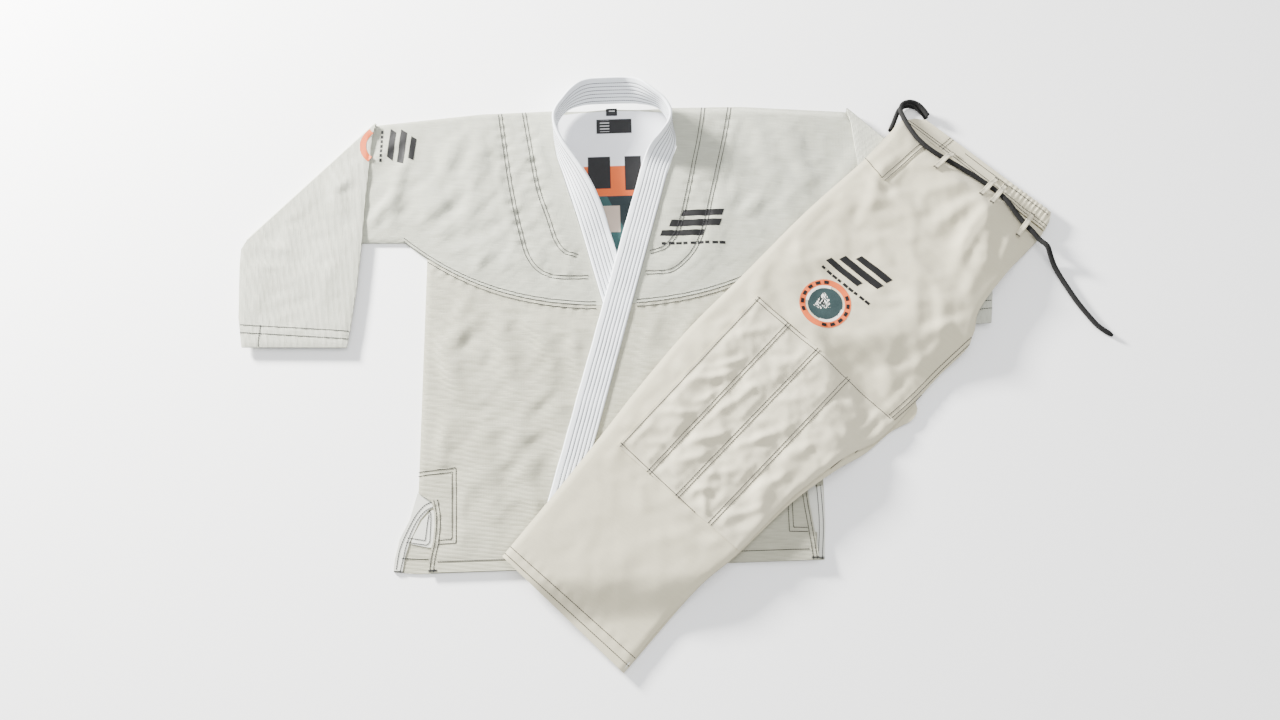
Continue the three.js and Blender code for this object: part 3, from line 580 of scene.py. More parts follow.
def back_panel(name, node, outline, finish):
    net = cut_cloth(outline, HIDDEN_NET)
    x, y = net["xy"].T
    lift = 0.25 + 0.25 * ripple(x, y, 60, 120, 0.4, 3)
    piece = cloth_piece(name, net, 0 * x, JACKET_CLOTH - 0.5 + lift, jacket_place, finish)
    laid_cloth(piece, node, "jacket", net, digits=4)


back_panel("upper_back", "upper_back_panel", upper_back_outline, yoke_cloth)
back_panel("skirt_back", "skirt_back_panel", skirt_back_outline, skirt_cloth)

# ---- Lining and neck labels ----------------------------------------------------------------
# A thin smooth polyester lining inside the upper back, printed with plain bands of colour. The
# black neck label and the small size tag are sewn in at the top.
LINING_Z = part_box("back_lining")[0][2] / MM
LABEL_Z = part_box("neck_label")[0][2] / MM


def smooth_lining():
    """White polyester with an orange band, a dark field and two plain black shapes printed on it."""
    material, tree, shader = new_material("printed_lining", 0.55, 0.1)
    raw = add_node(tree, "ShaderNodeTexCoord", output=3)
    across, up = across_and_up(tree, raw)
    across = (across - CENTRE_X) / MM
    up = (up - HEM_Y) / MM

    def below(value, limit, soft=1.2):
        return (value * (-1 / soft) + (limit / soft + 0.5)).limited()

    def within(value, low, high):
        return below(value, high) * (1 - below(value, low))

    cloud = add_node(tree, "ShaderNodeTexNoise", {}, {"Vector": raw, "Scale": 14.0, "Detail": 2.0})
    white = mix_colour(tree, cloud, linear(232, 233, 236), linear(216, 217, 222))
    printed = within(across, -64, 72)
    band = within(up, 604, 662) * printed
    colour = mix_colour(tree, band, white, linear(206, 92, 36))
    field = below(up, 606) * printed
    colour = mix_colour(tree, field, colour, linear(24, 38, 42))
    slant = up * 0.45 + across
    wedge = within(slant, 210, 262) * field
    colour = mix_colour(tree, wedge, colour, linear(38, 74, 74))
    pale = within(up, 540, 588) * within(across, -24, 10)
    colour = mix_colour(tree, pale, colour, linear(176, 160, 146))
    block = within(up, 620, 680) * within(across, -42, -4)
    colour = mix_colour(tree, block, colour, linear(22, 22, 24))
    ring = within(up, 616, 680) * within(across, 20, 48)
    colour = mix_colour(tree, ring, colour, linear(22, 22, 24))
    connect(tree, shader, "Base Color", colour)
    fine = add_node(tree, "ShaderNodeTexNoise", {}, {"Vector": raw, "Scale": 700.0, "Detail": 1.0})
    connect(tree, shader, "Normal", bump(tree, fine, 0.0002, 0.4))
    return material


lining_half = chest_seam[chest_seam[:, 0] < 232]
lining_outline = np.vstack([
    lining_half[::-1] * [-1, 1] + [0, 1], lining_half[1:] + [0, 1],
    [(250, 748), (86, 762)], [(46, 766), (0, 768), (-46, 766)], [(-86, 762), (-250, 748)],
])
lining_net = cut_cloth(lining_outline, 7.0)
lining_x, lining_y = lining_net["xy"].T
lining_rise = 0.15 * ripple(lining_x, lining_y, 30, 60, 1.0, 8)
lining = cloth_piece(
    "back_lining_sheet", lining_net, LINING_Z + lining_rise, LINING_Z + 0.6 + lining_rise,
    jacket_place, smooth_lining(),
)
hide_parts("back_lining")
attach(lining, "jacket")


def label_finish(name, mark_low, mark_high, mark_left, mark_right):
    """Black woven label with a few plain pale bars, no lettering."""
    material, tree, shader = new_material(name, 0.75, 0.1)
    raw = add_node(tree, "ShaderNodeTexCoord", output=3)
    across, up = across_and_up(tree, raw)
    across = (across - CENTRE_X) / MM
    up = (up - HEM_Y) / MM
    bars = (up * 1.1).sine() * 4.0 - 1.5
    box = ((across - mark_left) * (mark_right - across)).limited()
    box = box * ((up - mark_low) * (mark_high - up)).limited()
    fine = add_node(tree, "ShaderNodeTexNoise", {}, {"Vector": raw, "Scale": 1500.0, "Detail": 1.0})
    base = mix_colour(tree, fine, (0.008, 0.008, 0.009, 1), (0.02, 0.02, 0.021, 1))
    connect(tree, shader, "Base Color", mix_colour(tree, bars.limited() * box, base, (0.5, 0.5, 0.5, 1)))
    connect(tree, shader, "Normal", bump(tree, fine, 0.0003, 0.5))
    return material


def sewn_label(name, node, body, finish, crown):
    low, high = (np.array(corner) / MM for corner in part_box(node))
    origin = np.array([CENTRE_X, HEM_Y, 0]) / MM
    left, bottom = (low - origin)[:2]
    right, top = (high - origin)[:2]
    net = cut_cloth(np.array([(left, bottom), (right, bottom), (right, top), (left, top)]), 2.0)
    x = net["xy"][:, 0]
    rise = crown * np.cos((x - left) / (right - left) * math.pi - math.pi / 2)
    piece = cloth_piece(name, net, LABEL_Z + rise, LABEL_Z + 0.5 + rise, jacket_place, finish)
    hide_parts(node)
    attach(piece, body)


label_weave = label_finish("label_weave", 727, 749, -20, -4)
tag_weave = label_finish("tag_weave", 762, 770, -4, 6)
sewn_label("neck_label_cloth", "neck_label", "jacket", label_weave, 0.25)
sewn_label("size_tag_cloth", "size_tag", "size_tag", tag_weave, 0.1)

# ---- Front panels --------------------------------------------------------------------------
# Each front is a yoke cut in one with its upper sleeve, lap-seamed to a skirt. The right front
# lies on the back; the left front crosses over it. Their outer edges are sewn down to the back.
# A short cloth simulation gives them the buckles of cloth held by its sewn rows.
RIGHT_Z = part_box("right_front_yoke")[0][2] / MM
LEFT_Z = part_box("left_front_yoke")[0][2] / MM
LAPEL_WIDTH = 45.0
LAPEL_THICK = 5.0
NECK_Y = 777.0
NECK_HALF = 92.0
STRAIGHT_TOP_Y = 690.0


def right_seam(y):
    return 82 - 0.25 * y


def left_seam(y):
    return -92 + 0.285 * y


def band_tilt(x, y):
    """Radians the collar band is turned up: flat on the chest, upright at the neck, leaning out behind."""
    x, y = np.asarray(x, float), np.asarray(y, float)
    stand = np.where(x < 0, smooth(y, 520, NECK_Y - 35), smooth(y, 640, NECK_Y - 35))
    lean = smooth(NECK_HALF - 10 - np.abs(x), 0, 60) * smooth(y, NECK_Y - 60, NECK_Y - 20)
    return np.radians(90 * stand + 50 * lean)


def yoke_outline(seam, sign):
    """The inner edge follows the collar's outer face as the collar turns up."""
    rows = np.linspace(CHEST_SEAM_Y + 0.5, STRAIGHT_TOP_Y, 15)
    clear = LAPEL_THICK * np.sin(band_tilt(seam(rows), rows)) + 0.6
    inner = np.column_stack([seam(rows) + sign * clear, rows])
    outer = chest_seam[chest_seam[:, 0] > 40] + [0, SEAM_GAP]
    corner = [FOLD_LOW, FOLD_TOP, (222, 768), (NECK_HALF + LAPEL_THICK + 2, 770), (NECK_HALF + 6, 738)]
    return np.vstack([outer * [sign, 1], np.array(corner) * [sign, 1], inner[::-1]])


def skirt_outline(seam, sign, slit):
    outer = chest_seam[(chest_seam[:, 0] > 40) & (chest_seam[:, 0] < HALF_BODY)] - [0, SEAM_GAP]
    edge = [(seam(0) + sign * 0.4, 0), *[(sign * a, b) for a, b in slit], (sign * HALF_BODY, corner_y - 0.4)]
    top = (seam(CHEST_SEAM_Y) + sign * 0.4, CHEST_SEAM_Y - SEAM_GAP)
    return np.vstack([edge, outer[::-1] * [sign, 1], [top]])


RIGHT_SLIT = [(288, 0), (287, 19), (282, 44), (280, 68), (281, 86), (285, 104), (HALF_BODY, 118)]
LEFT_SLIT = [(288, 0), (285, 40), (281, 80), (279, 108), (HALF_BODY, 122)]

shoulder_u = {
    -1: {
        "outer": [
            (-188, 766), (-179, 700), (-168, 624), (-153, 550), (-139, 500), (-123, 478), (-99, 466),
            (-46, 463),
        ],
        "inner": [(-147, 768), (-136, 699), (-123, 623), (-106, 567), (-93, 526), (-80, 508), (-62, 502)],
    },
    1: {
        "outer": [
            (200, 767), (183, 688), (161, 604), (144, 540), (128, 505), (110, 483), (88, 468), (50, 466),
        ],
        "inner": [(155, 768), (145, 709), (127, 633), (111, 569), (99, 533), (79, 509), (58, 502)],
    },
}
stitch_rows = []         # (piece it goes with, line of points), gathered as panels are made


def offset_line(line, away):
    line = np.asarray(line, float)
    step = np.gradient(line, axis=0)
    step /= np.linalg.norm(step, axis=1)[:, None] + 1e-9
    return line + away * np.column_stack([-step[:, 1], step[:, 0]])


def pressed(x, y, rows, depth=0.7, width=2.6):
    """How far stitching pulls the cloth in along its rows."""
    fall = np.zeros(len(x))
    for row in rows:
        away, run, _ = from_line(row, x, y)
        uneven = 0.75 + 0.25 * np.sin(run / 7.0 + row[0][0])
        fall = np.maximum(fall, depth * uneven * np.exp(-(away / width) ** 2))
    return fall


def pucker(x, y, rows, height, reach, pitch):
    """Short gathers that run out from a sewn row and die away."""
    lift = np.zeros(len(x))
    for number, row in enumerate(rows):
        away, run, _ = from_line(row, x, y)
        beat = np.sin(2 * math.pi * run / pitch + 2.2 * np.sin(run / (pitch * 2.7) + number))
        lift += height * beat * np.exp(-(away / reach) ** 2)
    return lift


def ridges(x, y, folds):
    """Soft creases: each a start, an end, a height and a width, highest at its middle."""
    lift = np.zeros(len(x))
    for ax, ay, bx, by, height, width in folds:
        middle = ((ax + bx) / 2 + (by - ay) * 0.04, (ay + by) / 2 - (bx - ax) * 0.04)
        line = rounded([(ax, ay), middle, (bx, by)], 9)
        away, run, _ = from_line(line, x, y)
        share = run / max(math.hypot(bx - ax, by - ay), 1)
        lift += height * np.sin(np.clip(share, 0.02, 0.98) * math.pi) ** 0.7 * np.exp(-(away / width) ** 2)
    return lift


def soft_cap(lift, most):
    """Heights eased over so that none passes `most`."""
    return np.where(lift > 0, most * np.tanh(np.maximum(lift, 0) / most), lift)


CLOTH_BELOW = -0.0022    # in metres, the plane that the simulated cloth comes to rest on


def slack_cloth(outline, spacing, held_rows, slack, seed, frames=14):
    """Simulates a cloth cut `slack` too large for its place and sewn along its rows; gives its height."""
    net = cut_cloth(outline, spacing)
    x, y = net["xy"].T
    held = np.exp(-(from_line(net["outline"], x, y)[0] / spacing) ** 2)
    for row in held_rows:
        held = np.maximum(held, np.exp(-(from_line(row, x, y)[0] / (0.6 * spacing)) ** 2))
    start = (1.2 + ripple(x, y, 30, 60, 0.7, seed)) * (1 - held)
    mesh = bpy.data.meshes.new("slack_cloth")
    mesh.from_pydata((np.column_stack([x, y, start]) * MM).tolist(), [], net["quads"].tolist())
    cloth = new_object("slack_cloth", mesh)
    sewn = cloth.vertex_groups.new(name="sewn")
    sewn.add([int(number) for number in np.where(held > 0.6)[0]], 1.0, "REPLACE")
    low, high = net["xy"].min(0) * MM - 0.1, net["xy"].max(0) * MM + 0.1
    corners = [(low[0], low[1]), (high[0], low[1]), (high[0], high[1]), (low[0], high[1])]
    under = bpy.data.meshes.new("cloth_below")
    under.from_pydata([(*corner, CLOTH_BELOW) for corner in corners], [], [(0, 1, 2, 3)])
    below = new_object("cloth_below", under)
    below.modifiers.new("below", "COLLISION")
    below.collision.thickness_outer = 0.001
    fall = cloth.modifiers.new("fall", "CLOTH")
    fall.settings.quality = 6
    fall.settings.mass = 0.02
    fall.settings.tension_stiffness = 20
    fall.settings.compression_stiffness = 20
    fall.settings.shear_stiffness = 12
    fall.settings.bending_stiffness = 0.25
    fall.settings.vertex_group_mass = "sewn"
    fall.settings.shrink_min = -slack
    fall.collision_settings.distance_min = 0.0008
    fall.point_cache.frame_start = 1
    fall.point_cache.frame_end = frames
    fine = cloth.modifiers.new("fine", "SUBSURF")
    fine.levels = 2
    for moment in range(1, frames + 1):
        bpy.context.scene.frame_set(moment)
    fallen = BVHTree.FromObject(cloth, bpy.context.evaluated_depsgraph_get())
    bpy.context.scene.frame_set(1)
    bpy.data.objects.remove(cloth)
    bpy.data.objects.remove(below)

    def height(px, py):
        down = Vector((0, 0, -1))
        hits = [fallen.ray_cast(Vector((a, b, 1)), down)[0] for a, b in zip(px * MM, py * MM)]
        return np.clip([hit.z / MM if hit else 0.0 for hit in hits], -1.0, 14.0)

    return height


def front_piece(name, node, outline, level, sign, finish, rows, folds, seed, sewn_down):
    """One front panel; its outer edges in `sewn_down` come down to the back panel."""
    net = cut_cloth(outline, SEEN_NET)
    x, y = net["xy"].T
    edge_away = from_line(net["outline"], x, y)[0]
    free = smooth(edge_away, 4, 60)
    wide = ripple(x, y, 36, 95, sign * 1.15, seed)
    narrow = ripple(x, y, 16, 44, -sign * 0.8, seed + 1)
    lift = free * (2.2 * wide + 1.1 * narrow)
    lift += 2.1 * smooth(edge_away, 2, 26) * ridges(x, y, folds)
    buckled = slack_cloth(outline, HIDDEN_NET, rows, 0.016, seed)
    lift += 0.9 * free * buckled(x, y)
    lift = np.where(lift < 0, 0.45 * lift, lift)
    lift = np.maximum(lift, -0.9 * free - 0.3)
    lift += pucker(x, y, rows[:4], 0.6, 11, 19) * smooth(edge_away, 0, 6)
    lift -= pressed(x, y, rows)
    seam_away = from_line(seam_both, x, y)[0]
    lift += 0.9 * np.exp(-(seam_away / 6.5) ** 4)
    sewn = from_line(sewn_down, x, y)[0]
    drop = (level - JACKET_CLOTH - 0.25) * (1 - smooth(sewn, 0, 2.2 * (level - 1.6))) ** 1.4
    low = np.maximum(level + soft_cap(lift, 5.4 if sign > 0 else 8.0) - drop, JACKET_CLOTH + 0.05)
    piece = cloth_piece(name, net, low, low + JACKET_CLOTH - 0.4, jacket_place, finish)
    laid_cloth(piece, node, "jacket", net, digits=4)
    return piece


front_pieces = {}
for side, sign, level, seam, slit in (
    ("right", -1, RIGHT_Z, right_seam, RIGHT_SLIT), ("left", 1, LEFT_Z, left_seam, LEFT_SLIT),
):
    u_rows = []
    for line in shoulder_u[sign].values():
        u_rows += [rounded(line, 5), offset_line(rounded(line, 5), 5.5 * sign)]
    crossing = 24 if sign < 0 else 30
    seam_rows = [
        chest_seam[chest_seam[:, 0] > crossing] * [sign, 1] + [0, away] for away in (-5.5, 0.8, 6.5)
    ]
    slit_line = np.array([(sign * a, b) for a, b in slit[:-1]])
    slit_rows = [offset_line(slit_line, sign * 3.0), offset_line(slit_line, sign * 8.5)]
    hem_rows = [np.array([(sign * 273, 15.5), (seam(15) + sign * 2, 15.5)])]
    corner = [(HALF_BODY, 150), (250, 155), (247, 42), (273, 41)]
    inner_corner = [(HALF_BODY, 144), (256, 148.5), (253.5, 48), (273, 47)]
    patch_rows = [np.array(row) * [sign, 1] for row in (corner, inner_corner)]
    side_edge = np.array([(sign * HALF_BODY, 122), (sign * HALF_BODY, corner_y)])
    shoulder_edge = np.array([ARMPIT, FOLD_LOW, FOLD_TOP, (222, 768), (NECK_HALF + 2, 770)]) * [sign, 1]
    shoulder_edge = np.vstack([[(sign * 312, 495)], shoulder_edge])
    yoke_folds = {
        -1: [
            (-215, 752, -236, 560, 2.2, 16), (-250, 735, -300, 590, 1.8, 14), (-340, 700, -372, 560, 2.4, 12),
            (-290, 540, -205, 610, 1.6, 12), (-330, 560, -250, 640, 2.0, 14), (-128, 720, -104, 640, 1.6, 10),
            (-360, 620, -400, 560, 2.0, 9), (-200, 520, -232, 470, 1.2, 9),
        ],
        1: [
            (240, 745, 280, 600, 2.2, 15), (290, 730, 330, 610, 2.0, 14), (200, 620, 150, 480, 1.6, 14),
            (120, 700, 160, 640, 1.6, 12), (60, 620, 100, 560, 1.6, 12), (250, 600, 200, 540, 1.5, 10),
        ],
    }[sign]
    skirt_folds = {
        -1: [
            (-236, 455, -262, 270, 2.2, 15), (-180, 430, -160, 250, 2.0, 17), (-120, 400, -100, 300, 1.6, 13),
            (-286, 380, -240, 260, 1.8, 12), (-100, 250, -60, 120, 1.8, 16), (-210, 250, -180, 90, 1.7, 16),
            (-150, 180, -120, 60, 1.4, 13), (-262, 240, -272, 150, 1.5, 10), (-70, 380, -60, 300, 1.4, 9),
        ],
        1: [
            (70, 400, 40, 300, 1.6, 12), (130, 400, 90, 310, 1.7, 12), (190, 60, 230, 160, 1.4, 14),
            (270, 140, 250, 60, 1.2, 12),
        ],
    }[sign]
    yoke_edge = yoke_outline(seam, sign)
    skirt_edge = skirt_outline(seam, sign, slit)
    front_pieces[side, "yoke"] = front_piece(
        f"{side}_yoke_cloth", f"{side}_front_yoke", yoke_edge, level, sign, yoke_cloth,
        u_rows + seam_rows, yoke_folds, 11 + sign, shoulder_edge)
    front_pieces[side, "skirt"] = front_piece(
        f"{side}_skirt_cloth", f"{side}_skirt_front", skirt_edge, level, sign, skirt_cloth,
        seam_rows + slit_rows + hem_rows + patch_rows, skirt_folds, 31 + sign, side_edge)
    stitch_rows += [((side, "yoke"), row) for row in u_rows + seam_rows[1:]]
    stitch_rows += [((side, "skirt"), row) for row in seam_rows[:1] + slit_rows + hem_rows + patch_rows]

# ---- Collar --------------------------------------------------------------------------------
# One stiff padded band from hem to hem round the back of the neck: a foam core in a bluish-white
# cotton cover, quilted with six rows of stitching. It lies flat on the chest and stands at the neck.
NECK_Z = RIGHT_Z + LAPEL_THICK
COLLAR_ROWS = [5.5 + 5.9 * k for k in range(6)]
collar_line = spline_through(
    [(right_seam(y), y, 0) for y in (0, 200, 400, 560, 640, STRAIGHT_TOP_Y)]
    + [(-NECK_HALF, NECK_Y - 40, 0), (-74, 765, 0), (-46, 775, 0), (0, NECK_Y, 0), (46, 775, 0)]
    + [(80, 765, 0), (97, NECK_Y - 40, 0)]
    + [(left_seam(y), y, 0) for y in (STRAIGHT_TOP_Y, 640, 560, 400, 200, 0)],
    4.0,
)[0][:, :2]


def collar_frames():
    """Origin, across and up vectors of the band at each point of its seam."""
    x, y = collar_line.T
    along = np.gradient(collar_line, axis=0)
    along /= np.linalg.norm(along, axis=1)[:, None]
    tilt = band_tilt(x, y)
    inward = np.column_stack([along[:, 1], -along[:, 0], 0 * x])
    upward = np.array([0, 0, 1.0])
    across = inward * np.cos(tilt)[:, None] + upward * np.sin(tilt)[:, None]
    rise = -inward * np.sin(tilt)[:, None] + upward * np.cos(tilt)[:, None]
    at_neck = smooth(y, 600, NECK_Y - 30)
    side = smooth(x, -60, NECK_HALF - 10)
    first_half = np.arange(len(x)) < len(x) / 2
    on_right = RIGHT_Z + (NECK_Z + (LEFT_Z - NECK_Z) * side - RIGHT_Z) * at_neck
    base = np.where(first_half, on_right, np.where(x > 0, LEFT_Z, NECK_Z + (LEFT_Z - NECK_Z) * side))
    base = np.where(first_half | (y < NECK_Y - 60), base, np.maximum(base, NECK_Z))
    return np.column_stack([x, y, base]), across, rise, tilt


origin, across_band, rise_band, tilt_band = collar_frames()


def band_profile(step):
    """Round the section: along the under face, then back over the quilted upper face."""
    a = np.linspace(0, LAPEL_WIDTH, int(LAPEL_WIDTH / step) + 1)
    edge = np.minimum(a, LAPEL_WIDTH - a)
    crown = LAPEL_THICK / 2 * np.sqrt(np.clip(1 - (1 - np.clip(edge / 1.8, 0, 1)) ** 2, 0, 1))
    groove = sum(0.62 * np.exp(-((a - row) / 0.95) ** 2) for row in COLLAR_ROWS)
    half = np.maximum(crown - groove, 0.05)
    under = np.column_stack([a, LAPEL_THICK / 2 - half])
    over = np.column_stack([a, LAPEL_THICK / 2 + half])[::-1]
    return np.vstack([under, over[1:-1]])


def turned_outward(points, faces):
    """The faces, reversed if they point inwards."""
    p = np.asarray(points)
    volume = 0.0
    for face in faces:
        for k in range(1, len(face) - 1):
            volume += np.dot(p[face[0]], np.cross(p[face[k]], p[face[k + 1]]))
    return faces if volume > 0 else [tuple(face)[::-1] for face in faces]


def lofted(name, rings, material):
    """A closed skin over rings of points, with flat ends."""
    rings = np.asarray(rings)
    count, around = rings.shape[:2]
    i, j = np.meshgrid(np.arange(count - 1), np.arange(around), indexing="ij")
    a, b = (i * around + j).ravel(), (i * around + (j + 1) % around).ravel()
    faces = [tuple(face) for face in np.column_stack([a, b, b + around, a + around]).tolist()]
    faces.append(tuple(range(around))[::-1])
    faces.append(tuple(range((count - 1) * around, count * around)))
    points = rings.reshape(-1, 3)
    sample = jacket_place(points)
    mesh = bpy.data.meshes.new(name)
    mesh.from_pydata(sample.tolist(), [], turned_outward(sample - sample.mean(0), faces))
    mesh.shade_smooth()
    mesh.set_sharp_from_angle(angle=math.radians(60))
    mesh.materials.append(material)
    piece = new_object(name, mesh)
    return piece


def band_rings(profile, wobble):
    run = np.arange(len(origin)) * 4.0
    swell = wobble * (np.sin(run / 23.0) + np.sin(run / 9.1 + 1.0)) / 2
    rings = []
    for k in range(len(origin)):
        a, b = profile[:, 0], profile[:, 1]
        thick = LAPEL_THICK / 2 + (b - LAPEL_THICK / 2) * (1 + 0.06 * swell[k])
        sway = swell[k] * 0.35 * a / LAPEL_WIDTH
        rings.append(origin[k] + np.outer(a + sway, across_band[k]) + np.outer(thick, rise_band[k]))
    return rings


def collar_finish():
    """Bluish-white cotton twill with quilted channels, with painted shade down in the stitched rows and a
    painted highlight on the rounded crowns.
    """
    material, tree, shader = new_material("collar_cotton", 0.85, 0.2)
    place = add_node(tree, "ShaderNodeTexCoord", output=3)
    fine = add_node(tree, "ShaderNodeTexNoise", {}, {"Vector": place, "Scale": 520.0, "Detail": 3.0})
    cloud = add_node(tree, "ShaderNodeTexNoise", {}, {"Vector": place, "Scale": 30.0, "Detail": 2.0})
    # Pointiness paints shade into the stitched grooves and a highlight onto the rounded crowns and edges.
    painted_cavity_light = add_node(tree, "ShaderNodeNewGeometry", output=7)
    tone_and_painted_light = fine * 0.45 + cloud * 0.4 + (painted_cavity_light - 0.5) * 1.5
    colour = mix_colour(tree, tone_and_painted_light.limited(), linear(210, 214, 219), linear(243, 246, 249))
    connect(tree, shader, "Base Color", colour)
    connect(tree, shader, "Normal", bump(tree, fine, 0.0004, 0.5))
    return material


collar_cloth = collar_finish()
collar = lofted("collar_cover_quilted", band_rings(band_profile(0.95), 1.0), collar_cloth)
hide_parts("collar_cover")
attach(collar, "jacket")

foam, foam_tree, foam_shader = new_material("collar_foam", 0.95)
foam_noise = add_node(
    foam_tree, "ShaderNodeTexNoise", {},
    {"Vector": add_node(foam_tree, "ShaderNodeTexCoord", output=3), "Scale": 900.0, "Detail": 1.0},
)
connect(foam_tree, foam_shader, "Base Color",
        mix_colour(foam_tree, foam_noise, (0.26, 0.26, 0.25, 1), (0.36, 0.36, 0.35, 1)))
CORE_INSET = 1.5
core_profile = np.array([
    (CORE_INSET, CORE_INSET), (LAPEL_WIDTH / 2, CORE_INSET), (LAPEL_WIDTH - CORE_INSET, CORE_INSET),
    (LAPEL_WIDTH - CORE_INSET, LAPEL_THICK - CORE_INSET), (LAPEL_WIDTH / 2, LAPEL_THICK - CORE_INSET),
    (CORE_INSET, LAPEL_THICK - CORE_INSET),
])
core = lofted("collar_core_foam", band_rings(core_profile, 0.0)[1:-1], foam)
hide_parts("collar_core")
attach(core, "jacket")

collar_stitch_lines = []
for row in COLLAR_ROWS:
    over = origin + across_band * row + rise_band * (LAPEL_THICK - 0.5)
    under = origin + across_band * row + rise_band * 0.5
    collar_stitch_lines.append(over[1:-1])
    standing = np.where(tilt_band > math.radians(60))[0]
    collar_stitch_lines.append(under[standing.min():standing.max() + 1])

# ---- Folded forearms -----------------------------------------------------------------------
# Both forearms are turned down over the upper sleeves along a slanting fold. Each is a flattened
# tube: front layer, back layer, and a cuff hem taped inside. A rounded bend joins it to the sleeve.
forearm_edge = [
    (400, 752), (406, 727), (411, 614), (413, 532), (417, 453), (423, 384), (427, 352),
    (592, 358), (601, 407), (608, 500), (608, 526), (600, 540),
]
BEND_STEPS = 11
forearm_cloth = woven(
    "forearm_pearl_weave", linear(216, 217, 203), linear(144, 145, 127), RIB_PITCH, 1.53, 1.2)
tape_cloth = woven("hem_tape_twill", linear(222, 222, 212), linear(198, 198, 188), 1.0, 0.8, 0.2)


flap_tops = {}
for side, sign, body in (("right", -1, "right_forearm"), ("left", 1, "jacket")):
    outline = np.array(forearm_edge) * [sign, 1]
    front_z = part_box(f"{side}_forearm_front")[0][2] / MM
    back_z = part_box(f"{side}_forearm_back")[0][2] / MM
    cuff_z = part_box(f"{side}_cuff_tape")[0][2] / MM
    net = cut_cloth(outline, SEEN_NET)
    x, y = net["xy"].T
    away = from_line(net["outline"], x, y)[0]
    fold_line = np.array([FOLD_TOP, FOLD_LOW]) * [sign, 1]
    from_fold = from_line(fold_line, x, y)[0]
    cuff_rows = [
        np.array(ends) * [sign, 1]
        for ends in ([(596, 395), (426, 379)], [(595, 382), (426, 366)], [(565, 392), (566, 360)])
    ]
    creases = [
        (-470, 700, -440, 560, 1.6, 13), (-540, 600, -520, 470, 1.3, 14), (-596, 540, -520, 520, 1.2, 9),
        (-450, 520, -470, 420, 1.2, 12), (-560, 470, -580, 410, 1.0, 11), (-430, 660, -470, 600, 1.2, 9),
        (-590, 500, -520, 490, 0.9, 7),
    ]
    free = smooth(away, 2, 34)
    calm = 1.0 if side == "right" else 0.25
    lift = calm * free * (
        1.5 * ripple(x, y, 30, 80, -sign * 0.9, 51) + 0.7 * ripple(x, y, 14, 42, 0.3, 52)
        + 1.8 * ridges(sign * -x, y, creases))
    lift += calm * pucker(x, y, cuff_rows[:2], 0.35, 8, 14) - pressed(x, y, cuff_rows)
    half = JACKET_CLOTH - 0.4
    sewn = from_line(outline[1:], x, y)[0]
    drop = (back_z - front_z - JACKET_CLOTH - 0.1) * (1 - smooth(sewn, 0, 7)) * smooth(from_fold, 4, 14)
    low = back_z + np.clip(lift, -0.8, 6.0 * calm + 0.2) - drop
    top = cloth_piece(f"{side}_forearm_upper_layer", net, low, low + half, jacket_place, forearm_cloth)
    laid_cloth(top, f"{side}_forearm_back", body, net)
    flap_tops[side] = top
    under_net = cut_cloth(outline, HIDDEN_NET)
    flat = np.zeros(len(under_net["xy"]))
    under = cloth_piece(
        f"{side}_forearm_lower_layer", under_net, flat + front_z, flat + front_z + JACKET_CLOTH - 0.3,
        jacket_place, forearm_cloth,
    )
    laid_cloth(under, f"{side}_forearm_front", body, under_net)
    cuff_net = cut_cloth(np.array([(428, 353), (589, 359), (590, 372), (428, 366)]) * [sign, 1], 4.0)
    flat = np.zeros(len(cuff_net["xy"]))
    cuff = cloth_piece(
        f"{side}_cuff_tape_cloth", cuff_net, flat + cuff_z, flat + cuff_z + 0.7, jacket_place, tape_cloth)
    laid_cloth(cuff, f"{side}_cuff_tape", body, cuff_net)
    stitch_rows += [((side, "flap"), row) for row in cuff_rows]

    # The bend: half an oval from the back panel, out round the fold and up to the upper layer.
    direction = (fold_line[1] - fold_line[0]) / np.linalg.norm(fold_line[1] - fold_line[0])
    outward = np.array([-direction[1], direction[0]])
    outward *= 1 if outward[1] > 0 else -1
    middle_z = (back_z + half) / 2
    rings = []
    for point in even_points(fold_line + np.outer([-1, 1], direction * -1.0), 8.0):
        ring = []
        for turn in np.linspace(-math.pi / 2, math.pi / 2, BEND_STEPS):
            ring.append((6.0 * math.cos(turn), middle_z + middle_z * math.sin(turn)))
        for turn in np.linspace(math.pi / 2, -math.pi / 2, BEND_STEPS):
            ring.append((4.3 * math.cos(turn), middle_z + (middle_z - half) * math.sin(turn)))
        rings.append([(*(point + outward * (a - 1.5)), b) for a, b in ring])
    bend = lofted(f"{side}_sleeve_bend", rings, forearm_cloth)
    if side == "right":
        place = jacket_place([[*(fold_line.mean(0)), 3.0], [*(fold_line.mean(0)), back_z - 0.5]])
        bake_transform(bend)
    else:
        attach(bend, "jacket")

